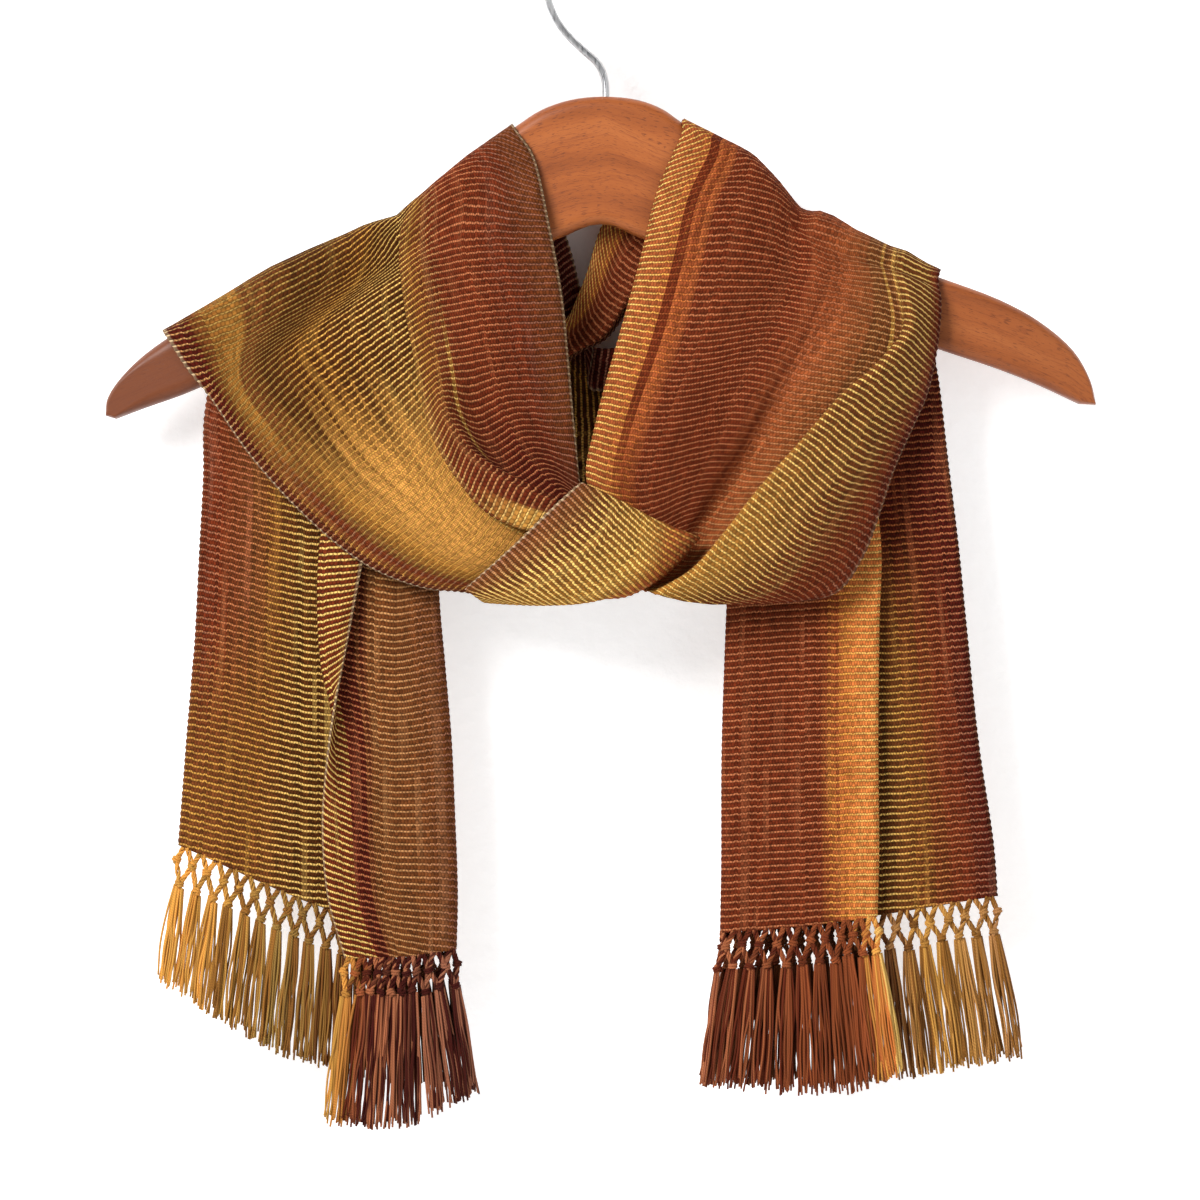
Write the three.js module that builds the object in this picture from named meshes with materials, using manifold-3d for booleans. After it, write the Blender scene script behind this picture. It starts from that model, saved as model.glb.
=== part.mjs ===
// A handwoven scarf on a flat wooden hanger. Millimetres; the front faces -Y and +Z is up.
// The origin is the top of the inside of the hook, where it rests on its rail.
// Each stretch of cloth is a table: a row is one line across the cloth, a column one thread along it.
import * as THREE from "three";
import { ConvexGeometry } from "three/addons/geometries/ConvexGeometry.js";
import { mergeVertices } from "three/addons/utils/BufferGeometryUtils.js";
import Module from "manifold-3d";

const CLOTH = 1.2; // wall of the cloth
const SEAM = 0.3; // half of the gap between two stretches
const BOARD = 16; // thickness of the hanger's board
const ROUND = 5; // radius of the board's edges
const WIRE = 1.6; // radius of the hook's wire
const TURN = 1; // radius of a tight turn
const LOOSE = 1.2; // radius of the turns behind the hanger
const ROLL = 3.5; // radius of the plump turn at the right panel's crest
const EDGE = 3.5; // radius of the folds down the tails
const TASSELS = 16; // knots across one end
const STRANDS = 3; // strands below one knot

const wasm = await Module();
wasm.setup();
const { Manifold } = wasm;
// The front of the left arm's wrap, from the arm down to the crossing. It rolls back at `lip`.
const LEFT_PANEL = [
  { neck: [-23.7, -14.5, -129.4], face: [-58.6, -19, -137.4], pocket: [-71.6, -19.5, -142.8],
    ridge: [-81.5, -23, -147.3], lip: [-89.5, -21.8, -154.5], belly: [-134.8, -16.3, -182.7],
    edge: [-175.9, -12.6, -206.4], turn: 172, tuck: 4 },
  { neck: [-17.9, -18, -162.5], face: [-51.5, -25, -165.2], pocket: [-66.3, -25.5, -167.9],
    ridge: [-77.5, -28, -170.6], lip: [-86, -27, -175.9], belly: [-123.1, -23, -203.7],
    edge: [-156.7, -16.5, -233.7], turn: 160, tuck: 3.5 },
  { neck: [-15.2, -21, -190.3], face: [-46.1, -28, -189.4], pocket: [-61.3, -30, -192.1],
    ridge: [-73, -34.2, -194.7], lip: [-81, -33, -201.9], belly: [-104.3, -29, -230.6],
    edge: [-129.4, -21.5, -262.8], turn: 180, tuck: 6 },
  { neck: [-13, -24, -215.3], face: [-40.7, -28, -210], pocket: [-56.9, -31, -216.2],
    ridge: [-69.4, -39.5, -212.7], lip: [-75.7, -38, -223.4], belly: [-85.5, -34, -248.5],
    edge: [-103.4, -26, -282.5], turn: 180, tuck: 6 },
  { neck: [-11.6, -26, -229.7], face: [-33.6, -28, -227], pocket: [-47, -34, -235.9],
    ridge: [-57.8, -43.5, -231], lip: [-63.1, -42, -244.9], belly: [-68.9, -37, -265.5],
    edge: [-79.7, -29, -291.5], turn: 180, tuck: 5 },
  { neck: [-10.3, -27.5, -243.1], face: [-25.5, -28.5, -238.6], pocket: [-35.4, -36, -246.7],
    ridge: [-44.3, -45.4, -240], lip: [-51.5, -44, -257.4], belly: [-56, -39, -275.3],
    edge: [-63.1, -31.5, -293.2], turn: 170, tuck: 4 },
  { neck: [-8.5, -29, -251.2], face: [-17.9, -30, -247.6], pocket: [-24.2, -38, -254.3],
    ridge: [-31.3, -45.2, -246.2], lip: [-38.9, -44, -263.7], belly: [-42.5, -39, -279.8],
    edge: [-47, -32.5, -295.5], turn: 150, tuck: 3 },
  { neck: [-6.3, -30, -256.5], face: [-12.1, -32, -254.3], pocket: [-15.7, -38.5, -259.2],
    ridge: [-19.3, -43.6, -251.6], lip: [-26, -42.5, -266.8], belly: [-27.8, -38.5, -281.2],
    edge: [-30, -33.5, -296.4], turn: 130, tuck: 2 },
];
// The front of the right arm's wrap, from the arm down to the crossing. It swells at `crest`.
const RIGHT_PANEL = [
  { neck: [24.2, -13.5, -113.7], face: [54.6, -19, -120], brow: [88.2, -14.6, -138.8],
    swell: [94, -21, -140.6], middle: [108.3, -19, -147.3], crest: [130.7, -20, -150.9],
    band: [143.7, -18, -156.7], hem: [151.3, -13.5, -162.5], turn: 15, tuck: 0.5 },
  { neck: [16.6, -17, -144.6], face: [47.9, -25, -149.1], brow: [85.1, -20.4, -156.2],
    swell: [91.3, -26.6, -158.5], middle: [105.2, -25, -162.5], crest: [131.6, -30, -172.4],
    band: [142.4, -28, -178.6], hem: [149.5, -18, -182.7], turn: 90, tuck: 2 },
  { neck: [7.6, -21, -177.3], face: [38.9, -29.5, -181.8], brow: [75.7, -25, -177.7],
    swell: [83.7, -29.6, -179.5], middle: [94.9, -28, -183.6], crest: [122.2, -38, -189.4],
    band: [135.2, -36.5, -197.9], hem: [144.6, -21, -205], turn: 150, tuck: 6 },
  { neck: [0.4, -25, -202.8], face: [29.1, -32, -206.4], brow: [63.1, -27, -201],
    swell: [71.6, -29.6, -202.8], middle: [80.1, -29, -205.5], crest: [105.2, -42, -207.3],
    band: [120.9, -41, -216.7], hem: [136.5, -24, -223.4], turn: 180, tuck: 12 },
  { neck: [-4.5, -28, -223], face: [21.9, -33, -226.5], brow: [53.3, -26, -223.4],
    swell: [60.4, -26.6, -224.7], middle: [67.2, -26.5, -226.1], crest: [86.9, -45, -227.9],
    band: [107.4, -45, -240.4], hem: [129.8, -27, -238.6], turn: 180, tuck: 14 },
  { neck: [-7.6, -30.5, -238.6], face: [17.5, -33.5, -244.4], brow: [43.4, -26.5, -243.1],
    swell: [48.8, -25.5, -244.4], middle: [54.2, -25, -245.8], crest: [68.9, -47, -248],
    band: [91.8, -47, -262.8], hem: [123.1, -29, -258.8], turn: 180, tuck: 13 },
  { neck: [-5.8, -32.5, -251.2], face: [18.8, -33.5, -257.4], brow: [36.3, -28.8, -258.8],
    swell: [39.8, -28, -260.1], middle: [43.4, -27.2, -261.5], crest: [53.7, -48, -267.3],
    band: [79.2, -48, -280.7], hem: [116, -31, -277.1], turn: 180, tuck: 11 },
  { neck: [-2.2, -33.5, -264.6], face: [16.6, -33.5, -272.2], brow: [27.3, -31.2, -275.3],
    swell: [29.8, -31, -276.7], middle: [32.2, -31, -278], crest: [38.9, -48, -282.5],
    band: [64.5, -46, -292.3], hem: [104.3, -31.5, -293.2], turn: 160, tuck: 6 },
  { neck: [0.4, -34, -277.1], face: [8.5, -34, -283.4], brow: [13, -33.5, -287.4],
    swell: [14.3, -33.8, -288.3], middle: [15.7, -34, -289.2], crest: [19.3, -45, -292.8],
    band: [44.3, -42, -298.2], hem: [83.7, -31.5, -297.7], turn: 110, tuck: 2 },
];
// The turned-over cloth along the bottom, where the right panel passes into the left one.
const CROSSING = [
  { edge: [-8.5, -38.3, -247.1], crown: [8.5, -39, -255.6], turn: [24.2, -36.4, -264.1],
    under: [41.6, -33.2, -271.3] },
  { edge: [-9.4, -41, -244.9], crown: [7.6, -41.5, -253], turn: [23.7, -38.6, -261.5],
    under: [43, -35.2, -269.1] },
  { edge: [-18.4, -44.5, -252.1], crown: [2.2, -49, -266.8], turn: [21, -47.5, -280.3],
    under: [28.7, -42.5, -284.7] },
  { edge: [-27.3, -47, -260.6], crown: [-8.1, -53, -277.1], turn: [6.7, -49.5, -291.9],
    under: [10.7, -42.5, -295] },
  { edge: [-37.2, -48, -270.4], crown: [-21.5, -54, -285.2], turn: [-6.7, -49, -297.7],
    under: [-4, -42, -295.9] },
  { edge: [-46.1, -48, -278.5], crown: [-33.6, -52, -291], turn: [-25.1, -46, -299.1],
    under: [-22.8, -40.5, -296.8] },
  { edge: [-54.2, -46, -285.6], crown: [-44.8, -47, -295], turn: [-39.8, -43, -298.6],
    under: [-38.1, -38.5, -296.8] },
  { edge: [-61.3, -41.5, -291.9], crown: [-55.5, -41.5, -295.9], turn: [-52.4, -39.5, -297.7],
    under: [-50.6, -37, -296.4] },
];
// The left tail from its fringed end up to the arm: doubled, with a flap along the front.
const LEFT_TAIL = [
  { free: [-115.5, -21.5, -456.7], crease: [-103.4, -21, -456.9], front: [-86.4, -20, -456.2],
    fold: [-65.8, -16, -453.1], back: [-128.9, -12, -433.4], selvedge: [-190.3, -13, -406.5],
    flap: 0 },
  { free: [-123.1, -23, -428.9], crease: [-112.4, -22, -430.2], front: [-90.9, -20, -430.2],
    fold: [-65.4, -16, -426.7], back: [-128.9, -12, -409.6], selvedge: [-188.5, -13, -384.1],
    flap: 0 },
  { free: [-125.4, -24, -395.3], crease: [-115.1, -22.3, -396.2], front: [-93.1, -20, -396.2],
    fold: [-66.7, -16, -391.7], back: [-128.9, -11.5, -384.1], selvedge: [-186.7, -12.5, -360],
    flap: 0 },
  { free: [-122.2, -28, -361.7], crease: [-117.7, -21.5, -362.6], front: [-93.1, -20, -363.1],
    fold: [-68.5, -15.8, -357.3], back: [-128.9, -11, -358.6], selvedge: [-184.9, -12, -338.5],
    flap: 2 },
  { free: [-119.1, -28.5, -341.6], crease: [-121.8, -21.3, -342.9], front: [-93.1, -19.3, -347],
    fold: [-69.8, -15.6, -341.6], back: [-128.9, -10.9, -346.1], selvedge: [-184, -11.8, -327.3],
    flap: 2.4 },
  { free: [-115.1, -25.5, -322.3], crease: [-125.8, -21.5, -324.6], front: [-93.1, -18.5, -329.1],
    fold: [-71.2, -15.3, -324.6], back: [-128.9, -10.8, -333.5], selvedge: [-183.1, -11.5, -317.4],
    flap: 2 },
  { free: [-107, -23, -279.4], crease: [-127.1, -19, -281.2], front: [-92.7, -16.8, -290.1],
    fold: [-73.9, -14.3, -287.9], back: [-128.9, -10.5, -288.8], selvedge: [-180.9, -11, -274.4],
    flap: 2 },
  { free: [-98.9, -19.5, -240.9], crease: [-120.9, -16, -238.6], front: [-91.8, -14.5, -239.5],
    fold: [-72.5, -12.6, -239.5], back: [-128.9, -10, -243.1], selvedge: [-179.1, -10.3, -238.6],
    flap: 1.5, edge: 2.4 },
  { free: [-113.3, -20, -207.3], crease: [-112.4, -14, -205.9], front: [-93.1, -13.2, -205],
    fold: [-79.7, -11.6, -200.6], back: [-135.7, -9.8, -216.2], selvedge: [-179.1, -9.8, -218.5],
    flap: 0.8, edge: 1.6 },
];
// The right tail from its fringed end up to the arm: doubled.
const RIGHT_TAIL = [
  { free: [122.7, -20, -438.3], crease: [106.1, -20.7, -440.5], front: [83.7, -20, -443.2],
    fold: [52.8, -16, -445.5], back: [115.1, -12, -439.2], selvedge: [176.8, -13, -429.3] },
  { free: [123.4, -20, -411.4], crease: [106.1, -20.8, -413.2], front: [83.7, -20, -415],
    fold: [53.3, -16, -416.8], back: [115.1, -12, -412.3], selvedge: [175.1, -13, -406.5] },
  { free: [123.1, -19.5, -360], crease: [105.2, -20.3, -361.7], front: [83.7, -19.5, -363.1],
    fold: [53.5, -15.5, -364.9], back: [112.8, -11.5, -362.2], selvedge: [168.3, -12.5, -360] },
  { free: [123.6, -19, -308.5], crease: [105.2, -19.7, -310.3], front: [83.7, -18.7, -312],
    fold: [55.1, -15, -314.7], back: [110.6, -11, -312], selvedge: [163, -11.7, -308.5] },
  { free: [124.5, -18, -274.4], crease: [105.2, -18.6, -275.3], front: [83.7, -17.8, -277.1],
    fold: [56.4, -14.4, -278.9], back: [108.3, -10.6, -276.2], selvedge: [159.4, -11.2, -272.2] },
  { free: [120.4, -16.2, -236.4], crease: [102.5, -16.6, -235], front: [81.5, -15.9, -236.4],
    fold: [56, -13.2, -237.3], back: [105.2, -10.2, -237.7], selvedge: [154.5, -10.6, -231.9],
    edge: 2.6 },
  { free: [115.1, -13.8, -200.6], crease: [99.4, -13.6, -198.3], front: [81.5, -13, -196.1],
    fold: [63.6, -11.4, -193.9], back: [112.8, -9.8, -203.7], selvedge: [150.9, -9.9, -200.6],
    edge: 1.6 },
];
// Behind the hanger, the nearer stretch: from the left arm across to the right arm.
const BACK_NEAR = [
  { upper: [-54.2, 10, -137.9], at: [-86.4, 10.2, -173.7], lower: [-124.5, 10.4, -209.5], turn: 50,
    tuck: 1 },
  { upper: [-36.3, 9.9, -163.4], at: [-50.6, 11.1, -200.6], lower: [-66.3, 14.8, -223], turn: 135,
    tuck: 4 },
  { upper: [-23.7, 10, -173.3], at: [-26, 11.2, -192.1], lower: [-28.2, 15.6, -200.6], turn: 180,
    tuck: 12 },
  { upper: [-16.1, 10, -169.2], at: [-10.7, 11.2, -183.6], lower: [-9.8, 15.4, -184.9], turn: 180,
    tuck: 10 },
  { upper: [-11.6, 10, -159.8], at: [0, 11.2, -177.7], lower: [1.3, 15.4, -179.1], turn: 180,
    tuck: 12 },
  { upper: [-7.6, 10, -150], at: [8.5, 11.2, -166.1], lower: [10.3, 15.4, -167.9], turn: 180,
    tuck: 13 },
  { upper: [-0.4, 10, -127.6], at: [22.8, 11.2, -145.5], lower: [25.5, 15.4, -148.2], turn: 180,
    tuck: 13 },
  { upper: [11.2, 10, -109.7], at: [43.4, 11.6, -132.1], lower: [53.3, 15.6, -140.1], turn: 150,
    tuck: 6 },
  { upper: [21.9, 9.9, -99.8], at: [60.4, 12.2, -127.6], lower: [90.9, 14.5, -149.5], turn: 60,
    tuck: 1 },
];
// Behind the hanger, the stretch at the back, which hangs lower and turns a cuff over in front.
const BACK_FAR = [
  { cuff: [-15.7, 16.5, -134.8], rim: [-27.3, 17.2, -143.7], body: [-55.1, 19.2, -180.4],
    at: [-90.9, 19.5, -220.7], lower: [-137.9, 17.5, -249.8], cuffR: 0, turn: 50, tuck: 1 },
  { cuff: [-10.3, 17.6, -155.4], rim: [-21.9, 19, -164.3], body: [-37.2, 20.6, -202.8],
    at: [-59.5, 21.4, -247.6], lower: [-88.6, 24, -276.7], cuffR: 0.7, turn: 150, tuck: 5 },
  { cuff: [-4.5, 16.9, -183.6], rim: [-13.4, 19.9, -174.6], body: [-17, 21.4, -220.7],
    at: [-26, 22.2, -265.5], lower: [-39.4, 26.4, -290.1], cuffR: 0.7, turn: 180, tuck: 12 },
  { cuff: [-5.8, 16.3, -201.5], rim: [-4, 20, -182.7], body: [-1.3, 21.6, -220.7],
    at: [0.9, 21.6, -265.5], lower: [0.9, 25.8, -291.5], cuffR: 1.3, turn: 180, tuck: 14 },
  { cuff: [8.5, 15.8, -200.1], rim: [14.8, 17.1, -181.3], body: [23.3, 18.4, -220.7],
    at: [30.9, 19.5, -261], lower: [38.9, 23.8, -287], cuffR: 1.3, turn: 180, tuck: 12 },
  { cuff: [30.9, 12.4, -191.6], rim: [36.3, 13.6, -174.2], body: [50.6, 14.8, -209.5],
    at: [65.8, 16, -247.6], lower: [77, 19, -272.2], cuffR: 1.2, turn: 140, tuck: 4 },
  { cuff: [50.6, 9.8, -175.9], rim: [53.3, 10.9, -162.5], body: [70.3, 12, -193.9],
    at: [90.4, 12.8, -225.2], lower: [110.6, 13, -247.6], cuffR: 1.1, turn: 50, tuck: 1 },
  { cuff: [64.5, 9, -153.6], rim: [62.2, 10.1, -140.1], body: [83.7, 11.1, -169.2],
    at: [106.1, 11.2, -191.6], lower: [133, 11, -209.5], cuffR: 1.05, turn: 0, tuck: 1 },
];

// Where each thread crosses the top of an arm: [x, how far its middle is from the wood].
const OVER_LEFT = {
  tail: { free: [-154, 3.3], crease: [-142, 3.3], front: [-128, 3.3], fold: [-113, 2.15],
    back: [-150, 1], selvedge: [-184, 1] },
  panel: { neck: [-39.8, 1.3], face: [-63, 1.4], pocket: [-74, 1.5], ridge: [-81, 1.6],
    lip: [-88, 1.9], belly: [-107, 5.4], edge: [-195.5, 3.7] },
  brink: { neck: [-39.8, 1.3], face: [-63, 1.8], pocket: [-76, 2.6], ridge: [-85, 3.4],
    lip: [-92.5, 3.7], belly: [-110, 5.4], edge: [-195.5, 3.7] },
  chest: { neck: [-39.8, 2], face: [-67, 3.4], pocket: [-82, 5], ridge: [-91.5, 7.4],
    lip: [-98.5, 7.6], belly: [-118, 5.2], edge: [-195.5, 3.7] },
  near: { upper: [-114, 2], at: [-150, 2], lower: [-185, 2] },
  far: { cuff: [-39.8, 1.3], rim: [-50, 1.3], body: [-86, 1.9], at: [-112, 5.4], lower: [-195.5, 3.7] },
};
const OVER_RIGHT = {
  tail: { free: [112, 3.3], crease: [98, 3.3], front: [86, 3.3], fold: [73, 2.15],
    back: [112, 1], selvedge: [145, 1] },
  panel: { neck: [35.5, 1.5], face: [60, 4.8], brow: [80, 5.5], swell: [90, 5.5], middle: [105, 5.4],
    crest: [131, 5], band: [143.5, 3.8], hem: [150.5, 3] },
  brink: { neck: [35.5, 1.5], face: [62, 5.2], brow: [87, 5.3], swell: [93, 8.2], middle: [106, 8.2],
    crest: [131, 5.6], band: [143.5, 3.8], hem: [150.5, 3] },
  near: { upper: [35.5, 1.5], at: [72, 5.5], lower: [150.5, 4.8] },
  far: { cuff: [90, 0.95], rim: [79, 2], body: [100, 3.05], at: [124, 3.05], lower: [141, 2.2] },
};
// The board's outline, from the left tip along the top, and back along the underside: [x, z].
const BOARD_TOP = [
  [-223.5, -214], [-222.5, -206], [-213, -193], [-197, -180], [-171, -166], [-149, -153.4],
  [-113, -138], [-91, -125.6], [-73, -109.4], [-60, -98.6], [-39.4, -84.2], [-28, -76.8],
  [-15, -72.2], [0, -70.6], [16, -72.2], [27, -76.4], [34.5, -81.6], [52, -93.4],
  [64, -101], [75, -112], [88, -125.6], [110, -138], [135, -146], [151, -151.8],
  [178, -161.8], [196, -171.6], [211.5, -185], [219, -198.4], [221.5, -209],
];
const BOARD_UNDER = [
  [214, -208.6], [196, -200.2], [178, -193], [150, -183.6], [120, -172.5], [90, -160.5],
  [55, -147.5], [19, -134.8], [-1, -127.6], [-21.5, -134.8], [-60, -147.5], [-100, -163],
  [-140, -179], [-182, -201.5], [-207, -210.8], [-219, -215.4],
];
// The hook's wire, from its foot in the board round to its open end: [x, z].
const HOOK = [
  [1.3, -79], [1.3, -70.7], [0.8, -62.5], [-2, -56], [-8, -50.3], [-14.8, -43.9], [-19.6, -38],
  [-23, -31.6], [-24.6, -26],
];
const LOOP = 24.6; // radius of the hook's loop, to the wire's middle
// Ends of the fringe, thread by thread.
const LEFT_TIPS = { free: [-124, -25, -529.5], crease: [-110, -24.5, -530.5], front: [-86, -23, -530],
  fold: [-57, -17, -516], back: [-134, -12.5, -503], selvedge: [-200, -14, -466] };
const RIGHT_TIPS = { free: [134, -23, -507.5], crease: [112, -24, -515], front: [84, -23, -516],
  fold: [44, -17, -512], back: [122, -12.5, -511], selvedge: [188, -14, -500] };

// --- Smooth lines through points -------------------------------------------------------------
const mix = (a, b, t) => a.map((v, i) => v + (b[i] - v) * t);
const add = (a, b, k = 1) => a.map((v, i) => v + b[i] * k);
const apart = (a, b) => Math.hypot(...a.map((v, i) => v - b[i]));
const crossed = (u, v) => [
  u[1] * v[2] - u[2] * v[1], u[2] * v[0] - u[0] * v[2], u[0] * v[1] - u[1] * v[0],
];
const unit = (a) => {
  const n = Math.hypot(...a) || 1;
  return a.map((v) => v / n);
};
// A point of the centripetal curve from b to c.
function curve(a, b, c, d, t) {
  const k1 = Math.sqrt(apart(a, b)) || 0.1;
  const k2 = k1 + (Math.sqrt(apart(b, c)) || 0.1);
  const k3 = k2 + (Math.sqrt(apart(c, d)) || 0.1);
  const s = k1 + (k2 - k1) * t;
  const e = mix(a, b, s / k1);
  const f = mix(b, c, (s - k1) / (k2 - k1));
  const g = mix(c, d, (s - k2) / (k3 - k2));
  return mix(mix(e, f, s / k2), mix(f, g, (s - k1) / (k3 - k1)), (s - k1) / (k2 - k1));
}
// The points of the curve through a row, with steps[i] parts between point i and the next.
function smooth(points, steps) {
  const last = points.length - 1;
  const at = (i) => {
    if (i < 0) return add(points[0], add(points[0], points[1], -1));
    if (i > last) return add(points[last], add(points[last], points[last - 1], -1));
    return points[i];
  };
  const out = [];
  for (let i = 0; i < last; i++) {
    const n = steps[i] ?? 1;
    for (let k = 0; k < n; k++) out.push(curve(at(i - 1), at(i), at(i + 1), at(i + 2), k / n));
  }
  out.push(points[last]);
  return out;
}

// --- Folds across a row ----------------------------------------------------------------------
// A tuck: the cloth turns through `turn` degrees, runs `tuck` mm and turns back. `at` is the
// visible edge. `deep` is +1 when the first layer is the front one, -1 when it is the hidden one,
// and `first` and `second` are the radii of the two turns.
function tucked(before, at, after, turn, tuck, deep, first, second) {
  const along = unit([after[0] - before[0], 0, after[2] - before[2]]);
  const full = (turn / 180) * Math.PI;
  const k = turn / 180;
  const path = [[0, 0]];
  let heading = 0;
  const walk = (length, change, parts) => {
    for (let i = 0; i < parts; i++) {
      heading += change / parts / 2;
      const [u, v] = path[path.length - 1];
      path.push([u + (Math.cos(heading) * length) / parts, v + (Math.sin(heading) * length) / parts]);
      heading += change / parts / 2;
    }
  };
  const arc = (r) => Math.PI * mix([TURN], [r], k)[0]; // a slight turn is a tight one
  walk(arc(first), full, 3);
  walk(tuck, 0, 1);
  walk(arc(second), -full, 3);
  const end = path[path.length - 1];
  const edge = deep > 0 ? [first, first] : [-tuck - second, 2 * first + second];
  const u0 = k * edge[0] + (1 - k) * (end[0] / 2);
  const v0 = k * edge[1] + (1 - k) * (end[1] / 2);
  return path.map(([u, v]) => {
    const p = add(at, along, u - u0);
    p[1] += (v - v0) * deep;
    return p;
  });
}
// A fold of radius r between a nearer side `a` and a deeper side `b`; flat when r is 0.
function bent(a, p, b, r) {
  const ua = unit([a[0] - p[0], 0, a[2] - p[2]]);
  const ub = unit([b[0] - p[0], 0, b[2] - p[2]]);
  const f = Math.max(r, 1.5);
  const near = add(p, ua, f);
  const far = add(p, ub, f);
  return [[near[0], p[1] - r, near[2]], p, [far[0], p[1] + r, far[2]]];
}
// The same with a flat place on each side of the fold.
function creased(a, p, b, r) {
  const [near, mid, far] = bent(a, p, b, r);
  const beside = (q, to) => {
    const s = mix(p, q, 3.5);
    return [s[0], q[1] + (to[1] - q[1]) * 0.25, s[2]];
  };
  return [beside(near, a), near, mid, far, beside(far, b)];
}

// --- One line across each stretch, with the steps that its mesh takes between two points -------
const STRETCH = {
  left: {
    line: (r) => [r.neck, r.face, r.pocket, r.ridge,
      ...tucked(r.face, r.lip, r.belly, r.turn, r.tuck, 1, TURN, TURN), r.belly, r.edge],
    steps: [2, 2, 2, 1, 1, 1, 1, 1, 1, 1, 1, 2, 4],
  },
  right: {
    line: (r) => [r.neck, r.face, r.brow, r.swell, r.middle,
      ...tucked(r.middle, r.crest, r.band, r.turn, r.tuck, -1, TURN, ROLL), r.band, r.hem],
    steps: [2, 2, 1, 1, 1, 1, 1, 1, 1, 1, 1, 1, 2, 2],
  },
  crossing: {
    line: (r) => [r.edge, r.crown, r.turn, r.under],
    steps: [3, 3, 2],
  },
  tail: {
    line: (r) => [r.free, ...bent(r.free, r.crease, r.front, r.flap ?? 0), r.front,
      ...creased(r.front, r.fold, r.back, r.edge ?? EDGE), r.back, r.selvedge],
    steps: [1, 1, 1, 1, 1, 1, 2, 2, 1, 3, 2],
  },
  near: {
    line: (r) => [r.upper, mix(r.upper, r.at, 0.55),
      ...tucked(r.upper, r.at, r.lower, r.turn, r.tuck, 1, LOOSE, LOOSE), r.lower],
    steps: [1, 1, 1, 1, 1, 1, 1, 1, 1, 3],
  },
  far: {
    line: (r) => [r.cuff, ...bent(r.cuff, r.rim, r.body, r.cuffR), r.body,
      ...tucked(r.body, r.at, r.lower, r.turn, r.tuck, 1, LOOSE, LOOSE), r.lower],
    steps: [1, 1, 1, 2, 2, 1, 1, 1, 1, 1, 1, 1, 3],
  },
};

// The lines of a stretch where it goes over an arm. A point is kept as [x, minus its distance
// from the wood, 0] until the line has been smoothed; `round` says how far round the arm it is.
function overArm(top, rounds, extra) {
  return rounds.map((round) => {
    const row = { ...extra, round };
    for (const [name, [x, off]] of Object.entries(top)) row[name] = [x, -off, 0];
    return row;
  });
}
const ROUNDS = [0, 1, 2, 3, 4, 5, 6, 7];
// [Y, rise above the board's edge] of a point at distance `off` from the wood.
function section(round, off) {
  const flat = BOARD / 2 - ROUND;
  const corner = (ROUND + off) * Math.SQRT1_2;
  const side = round < 3.5 ? -1 : 1;
  const k = round < 3.5 ? round : 7 - round;
  if (k >= 3) return [side * flat, off];
  if (k >= 2) return [side * (flat + corner), corner - ROUND];
  return [side * (BOARD / 2 + off), k >= 1 ? -ROUND : -15 + 15 * k];
}
// The point of the board's top edge at p's x, raised square to the edge.
function onTop(p, round) {
  const [y, rise] = section(round, -p[1]);
  const side = (i) => {
    const [a, b] = [BOARD_TOP[Math.max(0, i - 1)], BOARD_TOP[Math.min(BOARD_TOP.length - 1, i + 1)]];
    return unit([a[1] - b[1], b[0] - a[0]]);
  };
  const i = BOARD_TOP.findIndex((q) => q[0] > p[0]);
  const [a, b] = [BOARD_TOP[i - 1], BOARD_TOP[i]];
  const t = (p[0] - a[0]) / (b[0] - a[0]);
  const n = unit(mix(side(i - 1), side(i), t));
  if (Math.abs(round - 3.5) > 2 && p[0] > 0) n[0] = 0; // the right arm's cloth drops straight
  return [p[0] + n[0] * rise, y, a[1] + (b[1] - a[1]) * t + n[1] * rise];
}

// --- A closed wall about a grid of points -------------------------------------------------------
// The points of a stretch: each row smoothed across, then each thread smoothed along.
function grid(kind, rows, steps) {
  const { line, steps: across } = STRETCH[kind];
  const lines = rows.map((r) => {
    const points = smooth(line(r), across);
    return r.round === undefined ? points : points.map((p) => onTop(p, r.round));
  });
  const columns = lines[0].map((_, j) => smooth(lines.map((l) => l[j]), steps));
  return columns[0].map((_, i) => columns.map((c) => c[i]));
}
// The grid without its first and last `gap` mm along the cloth.
function trimmed(points, gapA, gapB) {
  const out = points.map((l) => l.map((p) => [...p]));
  const n = out.length - 1;
  const cut = (a, b, gap) => mix(a, b, Math.min(0.5, gap / apart(a, b)));
  out[0] = points[0].map((p, j) => cut(p, points[1][j], gapA));
  out[n] = points[n].map((p, j) => cut(p, points[n - 1][j], gapB));
  return out;
}
// The direction of a line at its middle point.
const through = (a, b, c) => unit(add(unit(add(b, a, -1)), unit(add(c, b, -1))));
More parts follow.
